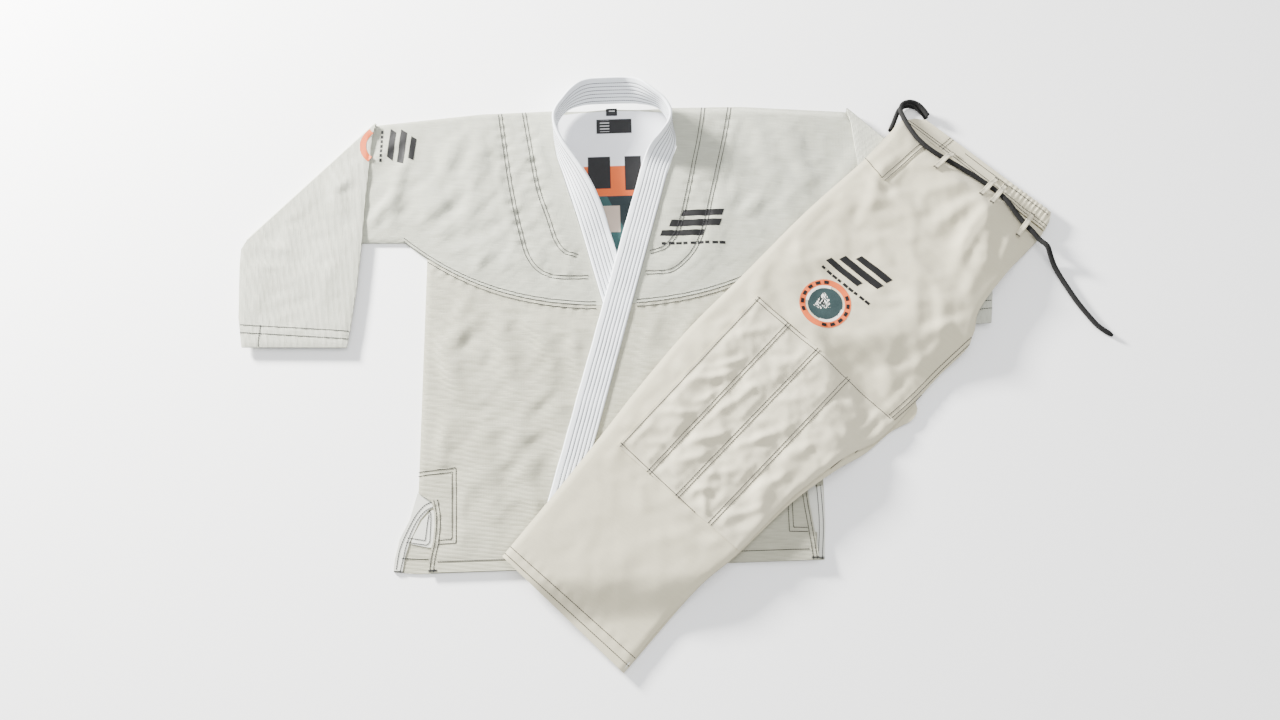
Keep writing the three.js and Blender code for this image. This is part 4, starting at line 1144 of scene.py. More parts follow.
# ---- Tapes, vent patches and shoulder reinforcements ---------------------------------------
# Flat cotton pieces sewn inside the panels: hem tapes, the squared patches and edge tapes at the
# side slits, and the U-shaped strips that carry the pull of the shoulders.
TAPE = 0.8
plain_tapes = ["back_hem_tape"]
for side in ("right", "left"):
    plain_tapes += [f"{side}_front_hem_tape", f"{side}_front_vent_patch", f"{side}_front_vent_tape"]
    plain_tapes += [f"{side}_back_vent_patch"]
for node in plain_tapes:
    low, high = (np.array(corner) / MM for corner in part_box(node))
    left, bottom = low[0] - CENTRE_X / MM, low[1] - HEM_Y / MM
    right, top = high[0] - CENTRE_X / MM, high[1] - HEM_Y / MM
    if node.startswith("right_front"):
        left = max(left, -279)
        right = max(right, left + 9)
    outline = [(left, bottom), (right, bottom), (right, top), (left, top)]
    if node == "right_back_vent_patch":
        outline = [(-315, 43), (-289, 37), (-262, 36), (-262, 100), (-287, 91), (-300, 77), (-312, 54)]
    net = cut_cloth(np.array(outline), 4.0)
    flat = np.zeros(len(net["xy"]))
    tape = cloth_piece(
        f"{node}_cloth", net, flat + low[2], flat + low[2] + TAPE - 0.1, jacket_place, tape_cloth)
    laid_cloth(tape, node, "jacket", net)

for side, sign in (("right", -1), ("left", 1)):
    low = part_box(f"{side}_shoulder_reinforcement")[0][2] / MM
    u = shoulder_u[sign]
    outline = np.vstack([rounded(u["outer"], 8), rounded(u["inner"], 8)[::-1]])
    outline[:, 1] = np.minimum(outline[:, 1], 762)
    net = cut_cloth(outline, 5.0)
    flat = np.zeros(len(net["xy"]))
    strip = cloth_piece(
        f"{side}_reinforcement_cloth", net, flat + low, flat + low + TAPE - 0.2, jacket_place, tape_cloth)
    laid_cloth(strip, f"{side}_shoulder_reinforcement", "jacket", net)
    if sign < 0:
        flap_edge = [(-308, 118), (-318, 79), (-332, 50), (-337, 21), (-338, 4), (-326, 3), (-323, 24)]
        flap_edge += [(-317, 46), (-303, 78), (-290, 93), (-280, 98), (-276, 112)]
        outer_row = [(-284, 105), (-295, 101), (-308, 87), (-321, 62), (-331, 36), (-335, 8)]
        inner_row = [(-284, 97), (-294, 92.5), (-307, 77.5), (-321, 44), (-325.5, 22), (-329, 5)]
        rows = [rounded(outer_row, 5), rounded(inner_row, 5)]
    else:
        flap_edge = [(304, 110), (303, 54), (297, 2), (286, 2), (291, 54), (293, 108)]
        rows = [offset_line(rounded(flap_edge[:3], 5), away) for away in (-3.0, -9.0)]
    net = cut_cloth(np.array(flap_edge), 2.5)
    low = JACKET_CLOTH + 0.35
    flat = np.zeros(len(net["xy"]))
    drawn_in = 0.3 * pressed(*net["xy"].T, rows, 0.6, 1.6)
    tape = cloth_piece(
        f"{side}_vent_edge_tape", net, flat + low, flat + low + TAPE - 0.1 - drawn_in,
        jacket_place, tape_cloth)
    laid_cloth(tape, f"{side}_back_vent_tape", "jacket", net)
    stitch_rows += [((side, "vent"), row) for row in rows]
stitch_rows += [(("right", "vent"), np.array(row)) for row in (
    [(-319, 52), (-294, 47.5), (-291.5, 74), (-289, 91)],
    [(-320.5, 45.5), (-291, 40.7), (-287, 46), (-286.5, 80), (-288, 92)],
    [(-326, 22), (-283, 19.5)],
)]

# ---- Trouser legs --------------------------------------------------------------------------
# Plain-weave drill cotton, folded in half so that four leg panels lie on each other: the left
# leg's front and back below, the right leg's back and front above. They drape off the jacket.
DRILL_CLOTH = 1.25
TROUSER_LENGTH = 1005.0
WAISTBAND = 34.0
KNEE_TOP_S = 447.0
KNEE_LOW_S = 773.0
KNEE_EDGE_T = -108.0
STEP = 1.9
LOW_FRONT = STEP
LOW_TAPE = LOW_FRONT + STEP
LOW_BACK = LOW_TAPE + 1.1
TOP_BACK = LOW_BACK + STEP
TOP_TAPE = TOP_BACK + STEP
TOP_FRONT = TOP_TAPE + 1.1
TOP_PATCH = TOP_FRONT + STEP
drill_cloth = woven("trouser_drill", linear(209, 203, 178), linear(182, 174, 148), 0.9, 0.6, 0.22, 0.2, 0.3)
knee_cloth = woven("knee_patch_drill", linear(212, 206, 182), linear(186, 178, 153), 0.9, 0.6, 0.22, 0.2, 0.3)

outer_edge = rounded([
    (0, -114), (14, -126), (WAISTBAND, -138), (95, -134), (285, -147), (441, -150), (560, -153), (682, -146),
    (783, -136), (889, -127), (TROUSER_LENGTH + 1, -119),
], 8)
inner_edge = rounded([
    (0, 148), (16, 156), (WAISTBAND, 160), (147, 158), (225, 163), (260, 175), (281, 187), (352, 183),
    (467, 181), (498, 177), (544, 160), (600, 147), (660, 137), (775, 130), (840, 120), (925, 117),
    (TROUSER_LENGTH, 121),
], 8)
under_inner_edge = rounded([
    (0, 148), (WAISTBAND, 160), (147, 158), (225, 162), (268, 182), (352, 183), (403, 180), (414, 192),
    (432, 196), (452, 189), (470, 183), (520, 176), (580, 158), (660, 141), (775, 131), (840, 121),
    (TROUSER_LENGTH, 121),
], 8)

inseam = rounded([(268, 183), (336, 176), (407, 171), (470, 163), (535, 153), (586, 145), (655, 133)], 6)
knee_top = np.array([(449, -106), (450, 168)])
knee_low = np.array([(770, -105), (774, 128)])
channels = [
    offset_line(np.array([(450, top), (771, low)]), away)
    for top, low in ((-42, -45), (19, 10), (82, 72)) for away in (-2.6, 2.6)
]
knee_rows = channels + [
    knee_top, knee_top + [6.0, 0], knee_low - [3.5, 0], np.array([(449, -104), (770, -103)]),
]
inseam_rows = [offset_line(inseam, away) for away in (-1.0, 5.0, 10.0)]
leg_hem_rows = [
    np.array([(1000, -118), (993, 119)]), np.array([(988, -121), (979, 118)]),
]
hip_rows = [np.array([(146, -135), (159, -87), (50, -79)]), np.array([(139, -135), (152, -93), (50, -86)])]
leg_rows = inseam_rows + leg_hem_rows

leg_folds = [
    (60, 66, 205, 96, 6.0, 13), (70, 50, 190, 20, 2.6, 13), (90, 90, 240, 150, 4.0, 16),
    (60, 20, 130, -30, 2.6, 12), (110, -110, 230, -60, 2.4, 14), (190, 20, 330, 110, 3.0, 20),
    (250, 168, 330, 120, 3.6, 14),
    (300, 175, 420, 130, 3.4, 14), (230, 120, 420, 60, 2.4, 22), (60, 120, 150, 150, 3.0, 12),
    (340, 90, 440, 150, 2.4, 14), (150, -20, 230, -120, 2.0, 16), (395, -130, 300, -60, 1.6, 20),
    (800, 60, 935, -10, 2.0, 18), (830, -40, 960, -90, 1.6, 20), (790, 110, 900, 84, 1.6, 12),
]
knee_folds = [
    (590, -90, 530, -50, 4.2, 6), (622, -96, 566, -52, 4.6, 7), (650, -70, 600, -46, 3.6, 6),
    (640, -34, 560, -16, 4.2, 7), (700, -38, 640, 6, 4.6, 7), (735, -30, 690, 2, 4.2, 7),
    (590, -30, 520, 4, 2.6, 8), (660, 18, 600, 52, 4.6, 7), (640, 34, 570, 66, 3.8, 7),
    (720, 16, 660, 60, 4.6, 7), (752, 14, 712, 50, 3.6, 6), (560, 26, 505, 62, 2.8, 8),
    (610, 86, 545, 120, 3.2, 8), (690, 84, 620, 112, 4.2, 7), (740, 84, 690, 116, 3.6, 6),
    (520, -92, 470, -56, 1.8, 8), (500, 96, 462, 140, 2.2, 8), (540, -36, 480, 10, 1.8, 8),
    (690, -96, 655, -54, 3.2, 6), (748, -92, 720, -56, 2.6, 6), (764, 60, 735, 28, 2.6, 5),
]


def leg_outline(inside_edge):
    outer = outer_edge[outer_edge[:, 0] > WAISTBAND - 4]
    inner = inside_edge[inside_edge[:, 0] > WAISTBAND - 4]
    return np.vstack([outer, inner[::-1]])


leg_buckled = slack_cloth(leg_outline(inner_edge), HIDDEN_NET, leg_rows + hip_rows, 0.018, 91)


def leg_lift(s, t):
    """Creases shared by the top leg panel and what is sewn on it, flat at the edges and the waist."""
    edge = np.minimum(from_line(outer_edge, s, t)[0], from_line(inner_edge, s, t)[0])
    free = smooth(edge, 3, 38) * smooth(s, WAISTBAND, WAISTBAND + 40) * smooth(TROUSER_LENGTH - s, 22, 60)
    lift = 1.4 * ripple(s, t, 26, 80, 0.5, 71) + 0.7 * ripple(s, t, 13, 34, -0.5, 72)
    on_patch = smooth(s, KNEE_TOP_S, KNEE_TOP_S + 12) * (1 - smooth(s, KNEE_LOW_S - 12, KNEE_LOW_S))
    on_patch = on_patch * smooth(t, KNEE_EDGE_T, KNEE_EDGE_T + 10)
    lift += 1.5 * ridges(s, t, leg_folds) * (1 - 0.8 * on_patch)
    lift += 0.8 * leg_buckled(s, t)
    calm = 1 - 0.65 * smooth(s, KNEE_LOW_S, KNEE_LOW_S + 80)
    return free * calm * np.clip(lift, -0.8, 9)


def turned_edge(s, t, depth):
    """The top panel's side edges roll down to the panel below it."""
    outer = from_line(outer_edge, s, t)[0]
    inner = from_line(inner_edge, s, t)[0]
    return depth * (1 - smooth(np.minimum(outer, inner), 0, 9)) ** 1.5


knee_bend_start = tuple(leg_place([(KNEE_LOW_S, 0, 31.4)])[0])
knee_bend_end = tuple(leg_place([(KNEE_LOW_S + 40, 0, 31.4)])[0])
for name, level, spacing, inside_edge in (
    ("left_leg_front", LOW_FRONT, HIDDEN_NET, under_inner_edge),
    ("left_leg_back", LOW_BACK, HIDDEN_NET, under_inner_edge),
    ("right_leg_back", TOP_BACK, HIDDEN_NET, inner_edge),
    ("right_leg_front", TOP_FRONT, SEEN_NET, inner_edge),
):
    top_layer = name == "right_leg_front"
    net = cut_cloth(leg_outline(inside_edge), spacing)
    s, t = net["xy"].T
    low = drape(s, t) + level
    if top_layer:
        low += leg_lift(s, t) - turned_edge(s, t, 2.6) - pressed(s, t, leg_rows + hip_rows, 0.6)
        low += pucker(s, t, inseam_rows[:1], 0.5, 10, 15) + pucker(s, t, leg_hem_rows[1:], 0.35, 9, 18)
    else:
        low += 0.25 * ripple(s, t, 40, 90, 0.4, 75) * smooth(s, 60, 120)
    leg = cloth_piece(f"{name}_cloth", net, low, low + DRILL_CLOTH, leg_place, drill_cloth)
    flat, area = flat_size(net)
    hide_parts(f"{name}_upper", f"{name}_lower")
    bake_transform(leg)
    if top_layer:
        front_pieces["right", "leg"] = leg
stitch_rows += [(("right", "leg"), row) for row in leg_rows]

# ---- Knee patches --------------------------------------------------------------------------
# A second layer of drill over each knee, sewn down round its edge and along three double rows.
# The cloth between the rows is slack and has crumpled.
for side, level in (("right", TOP_PATCH), ("left", 0.0)):
    spacing = 3.2 if side == "right" else HIDDEN_NET
    inner = inner_edge[(inner_edge[:, 0] > KNEE_TOP_S + 2) & (inner_edge[:, 0] < KNEE_LOW_S - 2)]
    inner = inner - [0, 1.5]
    outline = np.vstack([[(KNEE_TOP_S, KNEE_EDGE_T), (KNEE_LOW_S, KNEE_EDGE_T + 1)], inner[::-1]])
    net = cut_cloth(outline, spacing)
    s, t = net["xy"].T
    low = drape(s, t) + level
    if side == "right":
        lift = leg_lift(s, t)
        slack = np.minimum.reduce([from_line(row, s, t)[0] for row in knee_rows])
        slack = smooth(slack, 1.5, 12)
        knee_buckled = slack_cloth(outline, 6.0, knee_rows, 0.03, 81)
        crumple = 0.75 * ridges(s, t, knee_folds) + 0.6 * knee_buckled(s, t)
        low += lift + slack * np.clip(crumple, 0, 7) - 0.2
        low += pucker(s, t, channels, 0.45, 8, 13) - pressed(s, t, knee_rows + inseam_rows[:1], 0.6, 2.2)
        low -= turned_edge(s, t, 2.4)
        low = np.maximum(low, drape(s, t) + TOP_FRONT + 1.3 + lift - turned_edge(s, t, 2.6))
    patch = cloth_piece(f"{side}_knee_patch_cloth", net, low, low + DRILL_CLOTH, leg_place, knee_cloth)
    laid_cloth(patch, f"{side}_knee_patch", "trousers", net)
    if side == "right":
        front_pieces["right", "knee"] = patch
stitch_rows += [(("right", "knee"), row) for row in knee_rows]

# ---- Leg hems, hip patches and waistband ---------------------------------------------------
# Hem tape inside each leg, a patch over each hip, and a waistband of two bands with elastic and
# the drawstring's tunnel between them. The elastic gathers the band over the front half.
for side, level in (("left", LOW_TAPE), ("right", TOP_TAPE)):
    outline = np.array([(988, -116), (1004, -115), (1004, 118), (988, 118)])
    net = cut_cloth(outline, 6.0)
    s, t = net["xy"].T
    low = drape(s, t) + level
    tape = cloth_piece(f"{side}_leg_hem_cloth", net, low, low + TAPE - 0.1, leg_place, tape_cloth)
    laid_cloth(tape, f"{side}_leg_hem_tape", "lower_legs", net)

for side, level in (("right", TOP_PATCH), ("left", 0.0)):
    outline = np.array([(36, -137), (60, -136), (140, -136), (153, -90), (150, -84), (48, -76), (36, -76)])
    net = cut_cloth(outline, 4.0)
    s, t = net["xy"].T
    low = drape(s, t) + level
    if side == "right":
        low += leg_lift(s, t) - turned_edge(s, t, 2.4) - pressed(s, t, hip_rows, 0.25)
    patch = cloth_piece(f"{side}_hip_patch_cloth", net, low, low + 0.7, leg_place, drill_cloth)
    laid_cloth(patch, f"{side}_hip_patch", "trousers", net)
    if side == "right":
        front_pieces["right", "hip"] = patch
stitch_rows += [(("right", "hip"), row) for row in hip_rows]

band_outline = np.array([
    (2, -110), (12, -125), (WAISTBAND + 1, -138), (WAISTBAND + 1, 160),
    (16, 156), (0, 148), (1, 60), (1, -40),
])
band_low_row = np.array([(30, -133), (29, -60), (30, 20), (31, 90), (31, 156)])
band_rows = [band_low_row, band_low_row - [5.5, 0], np.array([(9, -20), (9, 60), (8, 146)])]
band_rows += [np.array([(3, -58), (31, -60)]), np.array([(3, -52), (31, -54)])]
for node, level in (("waistband_under", LOW_FRONT), ("waistband_top", TOP_FRONT)):
    net = cut_cloth(band_outline, 2.6)
    s, t = net["xy"].T
    gather = smooth(t, 45, 80) * smooth(s, -1, 3)
    beat = np.sin(2 * math.pi * t / 8.5 + 1.6 * np.sin(t / 19.0) + 0.5 * np.sin(s / 5.0))
    low = drape(s, t) + level + 0.2
    rise = gather * (0.8 + 0.9 * beat) * (1 - 0.5 * smooth(s, 24, 34))
    if node == "waistband_top":
        low += rise - turned_edge(s, t, 2.0) - pressed(s, t, band_rows, 0.55, 1.8) + 0.9
        shaped = net["xy"].copy()
        at_top = net["border"][net["xy"][net["border"], 0] < 8]
        shaped[at_top, 0] += 0.9 * np.sin(shaped[at_top, 1] / 1.6) * smooth(shaped[at_top, 1], 50, 80)
        net["xy"] = shaped
    band = cloth_piece(f"{node}_cloth", net, low, low + DRILL_CLOTH, leg_place, drill_cloth)
    laid_cloth(band, node, "trousers", net)
    if node == "waistband_top":
        front_pieces["right", "band"] = band
stitch_rows += [(("right", "band"), row) for row in band_rows]

elastic = woven("elastic_rib", linear(222, 220, 212), linear(170, 168, 160), 1.2, 0.0, 0.5)
net = cut_cloth(np.array([(3, 46), (31, 46), (31, 154), (3, 145)]), 3.0)
s, t = net["xy"].T
low = drape(s, t) + LOW_TAPE
ribs = 0.35 * np.sin(2 * math.pi * t / 6.0)
elastic_band = cloth_piece("waist_elastic_band", net, low, low + 1.2 + ribs, leg_place, elastic)
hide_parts("waist_elastic")
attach(elastic_band, "trousers")

tunnel_run = np.array([(18.0, t) for t in np.linspace(-122, 152, 70)])
tunnel_z = drape(tunnel_run[:, 0], tunnel_run[:, 1]) + LOW_TAPE + STEP + 1.3
rings = []
for (s, t), level in zip(tunnel_run, tunnel_z):
    x, y = leg_to_jacket(s, t)
    ring = []
    for turn in np.linspace(0, 2 * math.pi, 12, endpoint=False):
        away = 4.0 * math.cos(turn)
        ring.append((x + away * ALONG[0], y + away * ALONG[1], level + 1.25 * math.sin(turn)))
    rings.append(ring)
tunnel = lofted("drawstring_inside_band", rings, cord_finish)
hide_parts("drawstring_in_tunnel")
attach(tunnel, "trousers")

# ---- Belt loops ----------------------------------------------------------------------------
# Four narrow folded straps of drill stand over the drawstring, each edge-stitched and tacked at
# both ends with a short dark bar.
LOOP_WIDTH = 8.0
loop_stitches = []
bar_tacks = []
for number, (cord_s, cord_t) in enumerate([(51, -38), (38, 45), (38, 65), (51, 130)], start=1):
    offsets = np.linspace(-27, 27, 37)
    over = float(drape(cord_s, cord_t)) + CORD_LEVEL + CORD_DIAMETER / 2 + 0.5
    ground = drape(cord_s + offsets, cord_t) + TOP_FACE + 0.5
    arch = over - np.maximum(np.abs(offsets) - 4.5, 0) ** 1.25 * 0.62
    level = np.maximum(ground, arch)
    level = np.convolve(np.pad(level, 2, mode="edge"), [0.1, 0.2, 0.4, 0.2, 0.1], mode="valid")
    slant = 0.06 * (number - 2.5)
    rings = []
    for offset, height in zip(offsets, level):
        middle = cord_t + slant * offset
        section = [(-4, 0.2), (-3.5, 0), (3.5, 0), (4, 0.2), (4, 1.1), (3.4, 1.4), (2.6, 1.2), (0, 1.5)]
        section += [(-2.6, 1.2), (-3.4, 1.4), (-4, 1.1)]
        ring = []
        for side, up in section:
            x, y = leg_to_jacket(cord_s + offset, middle + side * LOOP_WIDTH / 8)
            ring.append((float(x), float(y), height + up))
        rings.append(ring)
    loop = lofted(f"belt_loop_strap_{number}", rings, knee_cloth)
    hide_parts(f"belt_loop_{number}")
    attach(loop, "trousers")
    for side in (-2.6, 2.6):
        line = []
        for offset, height in zip(offsets, level):
            x, y = leg_to_jacket(cord_s + offset, cord_t + slant * offset + side)
            line.append((float(x), float(y), height + 1.35))
        loop_stitches.append(np.array(line))
    for end in (0, -1):
        for shift in (-1.0, 0.0, 1.0):
            offset = offsets[end] * 0.93 + shift
            ends = [leg_to_jacket(cord_s + offset, cord_t + slant * offset + side) for side in (-3.4, 3.4)]
            bar_tacks.append(np.array([(*map(float, point), level[end] + 1.6) for point in ends]))

# ---- Transfer prints -----------------------------------------------------------------------
# Thin ink transfers pressed on the chest, the sleeve and the thigh. Their shapes are plain slanted
# bars, dashes and rings. They follow the cloth under them.
INK = 0.3


def surface_of(*pieces):
    """A tree to find the height of the pieces' upper faces."""
    points, faces = [], []
    for piece in pieces:
        first = len(points)
        points += [v.co.copy() for v in piece.data.vertices]
        faces += [[first + k for k in f.vertices] for f in piece.data.polygons]
    return BVHTree.FromPolygons(points, faces)


def height_on(tree, placed):
    """Height in metres under each placed point, or nan where the surface ends."""
    out = []
    for x, y in placed:
        hit = tree.ray_cast(Vector((x, y, 0.2)), Vector((0, 0, -1)))[0]
        out.append(hit.z if hit else math.nan)
    return np.array(out)


def ink_finish(name, colour, worn):
    """Rubbery ink, very slightly mottled where the cloth's weave shows through."""
    material, tree, shader = new_material(name, 0.55)
    place = add_node(tree, "ShaderNodeTexCoord", output=3)
    fine = add_node(tree, "ShaderNodeTexNoise", {}, {"Vector": place, "Scale": 600.0, "Detail": 2.0})
    connect(tree, shader, "Base Color", mix_colour(tree, fine, colour, worn))
    connect(tree, shader, "Roughness", 0.45 + fine * 0.3)
    connect(tree, shader, "Normal", bump(tree, fine, 0.0003, 0.5))
    return material


black_ink = ink_finish("black_ink", linear(4, 4, 5), linear(14, 14, 15))
orange_ink = ink_finish("orange_ink", linear(196, 84, 34), linear(208, 98, 44))
teal_ink = ink_finish("teal_ink", linear(22, 40, 42), linear(44, 62, 62))
white_ink = ink_finish("white_ink", linear(226, 224, 216), linear(214, 212, 204))


def inked(name, node, shapes, surface, place, body, spacing=2.2):
    """One mesh of thin shapes, each an outline and its ink, laid on a surface."""
    points, faces, inks = [], [], []
    materials = []
    for level, (outline, ink) in enumerate(shapes):
        net = cut_cloth(outline, spacing)
        count = len(net["xy"])
        flat = place(np.column_stack([net["xy"], np.zeros(count)]))
        height = height_on(surface, flat[:, :2])
        height = np.where(np.isnan(height), np.nanmedian(height), height)
        thick = INK * MM * (1 + 0.02 * (level % 5))
        low, high = flat.copy(), flat.copy()
        low[:, 2], high[:, 2] = height - 0.1 * MM, height + thick
        quads, rim = net["quads"], net["rim"]
        wall = np.column_stack([rim[:, 0], rim[:, 1], rim[:, 1] + count, rim[:, 0] + count])
        part = np.vstack([quads[:, ::-1], quads + count, wall]) + len(points)
        if ink not in materials:
            materials.append(ink)
        points += np.vstack([low, high]).tolist()
        faces += part.tolist()
        inks += [materials.index(ink)] * len(part)
    mesh = bpy.data.meshes.new(name)
    mesh.from_pydata(points, [], faces)
    for ink in materials:
        mesh.materials.append(ink)
    mesh.polygons.foreach_set("material_index", inks)
    mesh.shade_smooth()
    mesh.set_sharp_from_angle(angle=math.radians(50))
    piece = new_object(name, mesh)
    if node:
        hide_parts(node)
    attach(piece, body)


def bars(corner, across, up, spans, dash_y, dash_height):
    """Slanted bars and a row of short dashes under them, in a frame of two directions."""
    corner, across, up = (np.array(v, float) for v in (corner, across, up))
    shapes = []
    for start, end, low, high in spans:
        lean = 0.16
        corners = [(start + lean * low, low), (end + lean * low, low), (end + lean * high, high),
                   (start + lean * high, high)]
        shapes.append((np.array([corner + across * a + up * b for a, b in corners]), black_ink))
    for k in range(9):
        a0, a1 = 0.02 + k * 0.105, 0.02 + k * 0.105 + (0.085 if k % 3 else 0.06)
        corners = [(a0, dash_y), (a1, dash_y), (a1, dash_y + dash_height), (a0, dash_y + dash_height)]
        shapes.append((np.array([corner + across * a + up * b for a, b in corners]), black_ink))
    return shapes


BAR_SPANS = [(0.0, 0.62, 0.0, 0.22), (0.08, 0.82, 0.36, 0.62), (0.2, 0.8, 0.76, 1.0)]
chest_shapes = bars((74, 527), (112, -3), (0, 46), BAR_SPANS, -0.34, 0.1)
chest_surface = surface_of(front_pieces["left", "yoke"])
inked("chest_print_ink", "chest_print", chest_shapes, chest_surface, jacket_place, "jacket")

sleeve_shapes = [
    (np.array([(-380, 690), (-370, 682), (-366, 736), (-376, 744)]), black_ink),
    (np.array([(-363, 680), (-352, 676), (-347, 734), (-358, 742)]), black_ink),
    (np.array([(-344, 686), (-335, 682), (-331, 722), (-340, 728)]), black_ink),
]
for k in range(7):
    low = 680 + 9 * k
    sleeve_shapes.append((np.array([(-392, low), (-388, low), (-388, low + 6), (-392, low + 6)]), black_ink))
sleeve_surface = surface_of(front_pieces["right", "yoke"])
inked("sleeve_print_ink", "sleeve_print", sleeve_shapes, sleeve_surface, jacket_place,
      "jacket", 1.5)


def arc(centre, radius, start, end, count=26):
    angles = np.radians(np.linspace(start, end, count))
    return np.column_stack([centre[0] + radius * np.cos(angles), centre[1] + radius * np.sin(angles)])


sleeve_badge = (-386, 710)
flap_shapes = [
    (np.vstack([arc(sleeve_badge, 39, 128, 232), arc(sleeve_badge, 28.5, 232, 128)]), orange_ink),
]
inked("sleeve_badge_ink", None, flap_shapes, surface_of(flap_tops["right"]), jacket_place,
      "right_forearm", 1.6)

leg_surface = surface_of(front_pieces["right", "leg"])
thigh_shapes = bars((327, -68), (0, 104), (-46, 0), BAR_SPANS, -0.3, 0.1)
inked("thigh_print_ink", "thigh_print", thigh_shapes, leg_surface, leg_place, "trousers")
badge_centre = (384, -22)
badge_shapes = [
    (arc(badge_centre, 27.5, 0, 348, 30), teal_ink),
    (np.vstack([arc(badge_centre, 41, 0, 180), arc(badge_centre, 31, 180, 0)]), orange_ink),
    (np.vstack([arc(badge_centre, 41, 180, 360), arc(badge_centre, 31, 360, 180)]), orange_ink),
    (np.vstack([arc(badge_centre, 31, 20, 110), arc(badge_centre, 26.5, 110, 20)]), white_ink),
    (np.vstack([arc(badge_centre, 31, 200, 300), arc(badge_centre, 26.5, 300, 200)]), white_ink),
    (np.array([(370, -36), (398, -34), (396, -22), (384, -12), (372, -24)]), white_ink),
    (np.array([(378, -30), (392, -28), (386, -20)]), black_ink),
]
inked("thigh_badge_ink", "thigh_badge", badge_shapes, leg_surface, leg_place, "trousers")
badge_marks = []
for start in [*range(30, 141, 22), *range(210, 321, 22)]:
    end = start + 12
    mark = np.vstack([arc(badge_centre, 38.6, start, end, 5), arc(badge_centre, 33.4, end, start, 5)])
    badge_marks.append((mark, black_ink))
badge_surface = surface_of(bpy.data.objects["thigh_badge_ink"])
inked("thigh_badge_marks", None, badge_marks, badge_surface, leg_place, "trousers", 1.2)

# ---- Stitching -----------------------------------------------------------------------------
# Near-black polyester thread, one lockstitch every 3.6 mm along each row, drawn down into the cloth.
# Short dense bars of it lock the foot of each side slit and the ends of the belt loops.
STITCH_PITCH = 3.6
thread_finish, thread_tree, thread_shader = new_material("dark_thread", 0.7, 0.1)
thread_noise = add_node(
    thread_tree, "ShaderNodeTexNoise", {},
    {"Vector": add_node(thread_tree, "ShaderNodeTexCoord", output=3), "Scale": 1200.0, "Detail": 1.0},
)
connect(thread_tree, thread_shader, "Base Color",
        mix_colour(thread_tree, thread_noise, linear(12, 12, 15), linear(30, 30, 35)))


def stitch_tree():
    """Even low-poly stitches along every line of a mesh."""
    tree = bpy.data.node_groups.new("lockstitch_rows", "GeometryNodeTree")
    panel = tree.interface
    panel.new_socket("Geometry", in_out="INPUT", socket_type="NodeSocketGeometry")
    names = {}
    for label, value in (("Pitch", STITCH_PITCH * MM), ("Length", 2.0 * MM), ("Thickness", 0.75 * MM)):
        socket = panel.new_socket(label, in_out="INPUT", socket_type="NodeSocketFloat")
        socket.default_value = value
        names[label] = socket.identifier
    finish = panel.new_socket("Thread", in_out="INPUT", socket_type="NodeSocketMaterial")
    names["Thread"] = finish.identifier
    panel.new_socket("Geometry", in_out="OUTPUT", socket_type="NodeSocketGeometry")
    start = tree.nodes.new("NodeGroupInput")
    end = tree.nodes.new("NodeGroupOutput")
    line = add_node(tree, "GeometryNodeMeshToCurve", {}, {"Mesh": Thread(tree, start.outputs["Geometry"])})
    even = add_node(
        tree, "GeometryNodeResampleCurve", {"mode": "LENGTH"},
        {"Curve": line, "Length": Thread(tree, start.outputs["Pitch"])},
    )
    bead = add_node(tree, "GeometryNodeMeshIcoSphere", {}, {"Radius": 1.0, "Subdivisions": 1})
    heading = add_node(
        tree, "FunctionNodeAlignRotationToVector", {"axis": "Z"},
        {"Vector": add_node(tree, "GeometryNodeInputTangent")},
    )
    size = add_node(
        tree, "ShaderNodeCombineXYZ", {},
        {"X": Thread(tree, start.outputs["Thickness"]), "Y": Thread(tree, start.outputs["Thickness"]),
         "Z": Thread(tree, start.outputs["Length"])},
    )
    sewn = add_node(
        tree, "GeometryNodeInstanceOnPoints", {},
        {"Points": even, "Instance": bead, "Rotation": heading, "Scale": size},
    )
    real = add_node(tree, "GeometryNodeRealizeInstances", {}, {"Geometry": sewn})
    done = add_node(
        tree, "GeometryNodeSetMaterial", {},
        {"Geometry": real, "Material": Thread(tree, start.outputs["Thread"])},
    )
    tree.links.new(done.socket, end.inputs["Geometry"])
    return tree, names


lockstitch, lockstitch_inputs = stitch_tree()


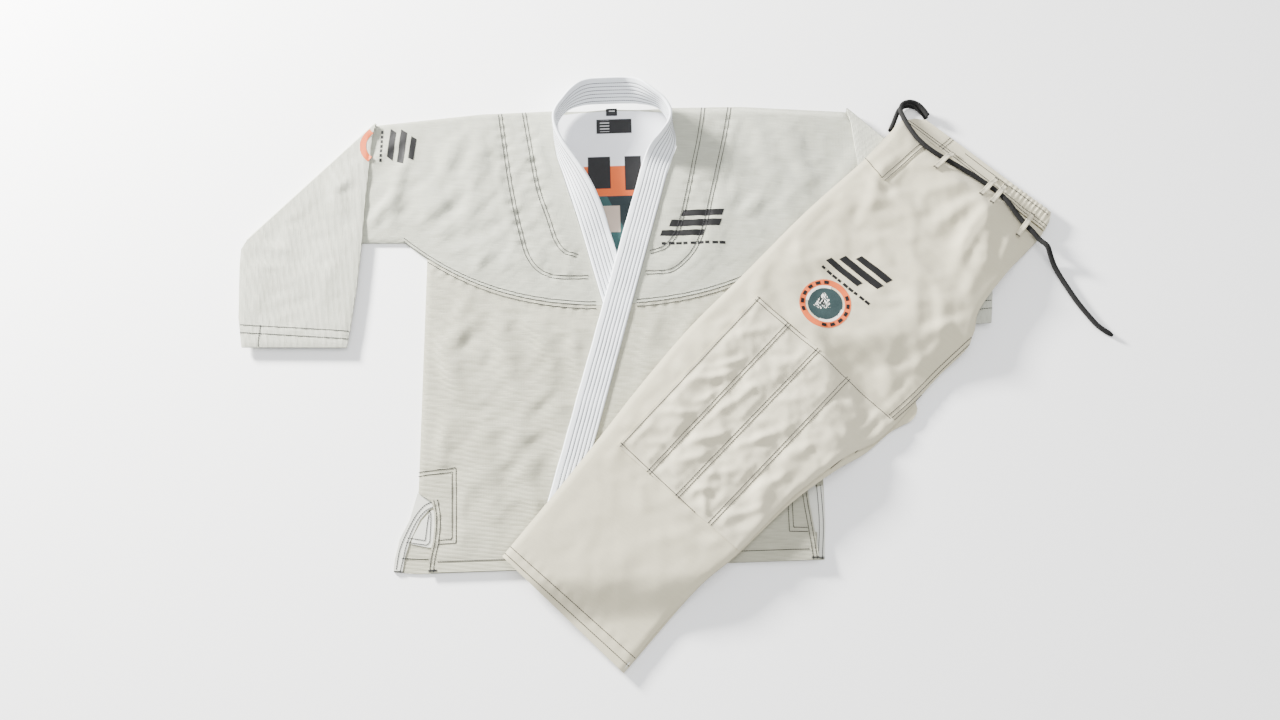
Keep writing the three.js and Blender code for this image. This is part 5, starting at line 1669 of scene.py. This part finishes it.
def sew(name, lines, body, pitch=STITCH_PITCH, length=2.0, thickness=0.75):
    """Lines of placed points in metres become rows of thread that ride on a body."""
    points, edges = [], []
    for line in lines:
        first = len(points)
        points += [tuple(p) for p in line]
        edges += [(first + k, first + k + 1) for k in range(len(line) - 1)]
    mesh = bpy.data.meshes.new(f"{name}_lines")
    mesh.from_pydata(points, edges, [])
    rows = new_object(f"{name}_lines", mesh)
    step = rows.modifiers.new("lockstitch", "NODES")
    step.node_group = lockstitch
    for label, value in (("Pitch", pitch * MM), ("Length", length * MM), ("Thickness", thickness * MM)):
        step[lockstitch_inputs[label]] = value
    step[lockstitch_inputs["Thread"]] = thread_finish
    seen = rows.evaluated_get(bpy.context.evaluated_depsgraph_get())
    sewn = bpy.data.meshes.new_from_object(seen)
    sewn.name = name
    bpy.data.objects.remove(rows)
    sewn.shade_smooth()
    piece = new_object(name, sewn)
    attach(piece, body)


def on_surface(tree, row, place, above=0.3):
    """A row laid on a surface, split wherever the surface ends."""
    line = even_points(row, 2.4)
    flat = place(np.column_stack([line, np.zeros(len(line))]))
    height = height_on(tree, flat[:, :2])
    parts, part = [], []
    for (x, y, _), z in zip(flat, height):
        if math.isnan(z):
            parts.append(part)
            part = []
        else:
            part.append((x, y, z + above * MM))
    return [p for p in [*parts, part] if len(p) > 2]


surfaces = {key: surface_of(piece) for key, piece in front_pieces.items()}
for side in ("right", "left"):
    surfaces[side, "flap"] = surface_of(flap_tops[side])
    surfaces[side, "vent"] = surface_of(
        bpy.data.objects[f"{side}_vent_edge_tape"], bpy.data.objects[f"{side}_back_vent_patch_cloth"],
        bpy.data.objects["skirt_back"])
groups = {"jacket": [], "right_forearm": [], "trousers": [], "lower_legs": []}
for (side, kind), row in stitch_rows:
    place = leg_place if kind in ("leg", "knee", "hip", "band") else jacket_place
    if place is leg_place:
        body = "lower_legs" if np.min(np.asarray(row)[:, 0]) > KNEE_LOW_S + 50 else "trousers"
    else:
        body = "right_forearm" if (side, kind) == ("right", "flap") else "jacket"
    groups[body] += on_surface(surfaces[side, kind], row, place)
for body, lines in groups.items():
    sew(f"{body}_stitching", lines, body)
sew("collar_stitching", [jacket_place(line) for line in collar_stitch_lines], "jacket", thickness=0.7)
sew("belt_loop_stitching", [jacket_place(line) for line in loop_stitches], "trousers", 2.6, 1.0, 0.25)
sew("belt_loop_tacks", [jacket_place(line) for line in bar_tacks], "trousers", 0.9, 0.6, 0.4)
slit_tacks = []
for side, spots in (("right", [(-289, -275), (-338, -325)]), ("left", [(277, 290), (286, 297)])):
    for number, (start, end) in enumerate(spots):
        surface = surfaces[side, "skirt"] if number == 0 else surfaces[side, "vent"]
        for up in (2.0, 3.0, 4.0):
            slit_tacks += on_surface(surface, np.array([(start, up), (end, up)]), jacket_place, 0.25)
sew("side_slit_tacks", slit_tacks, "jacket", 0.9, 0.7, 0.45)
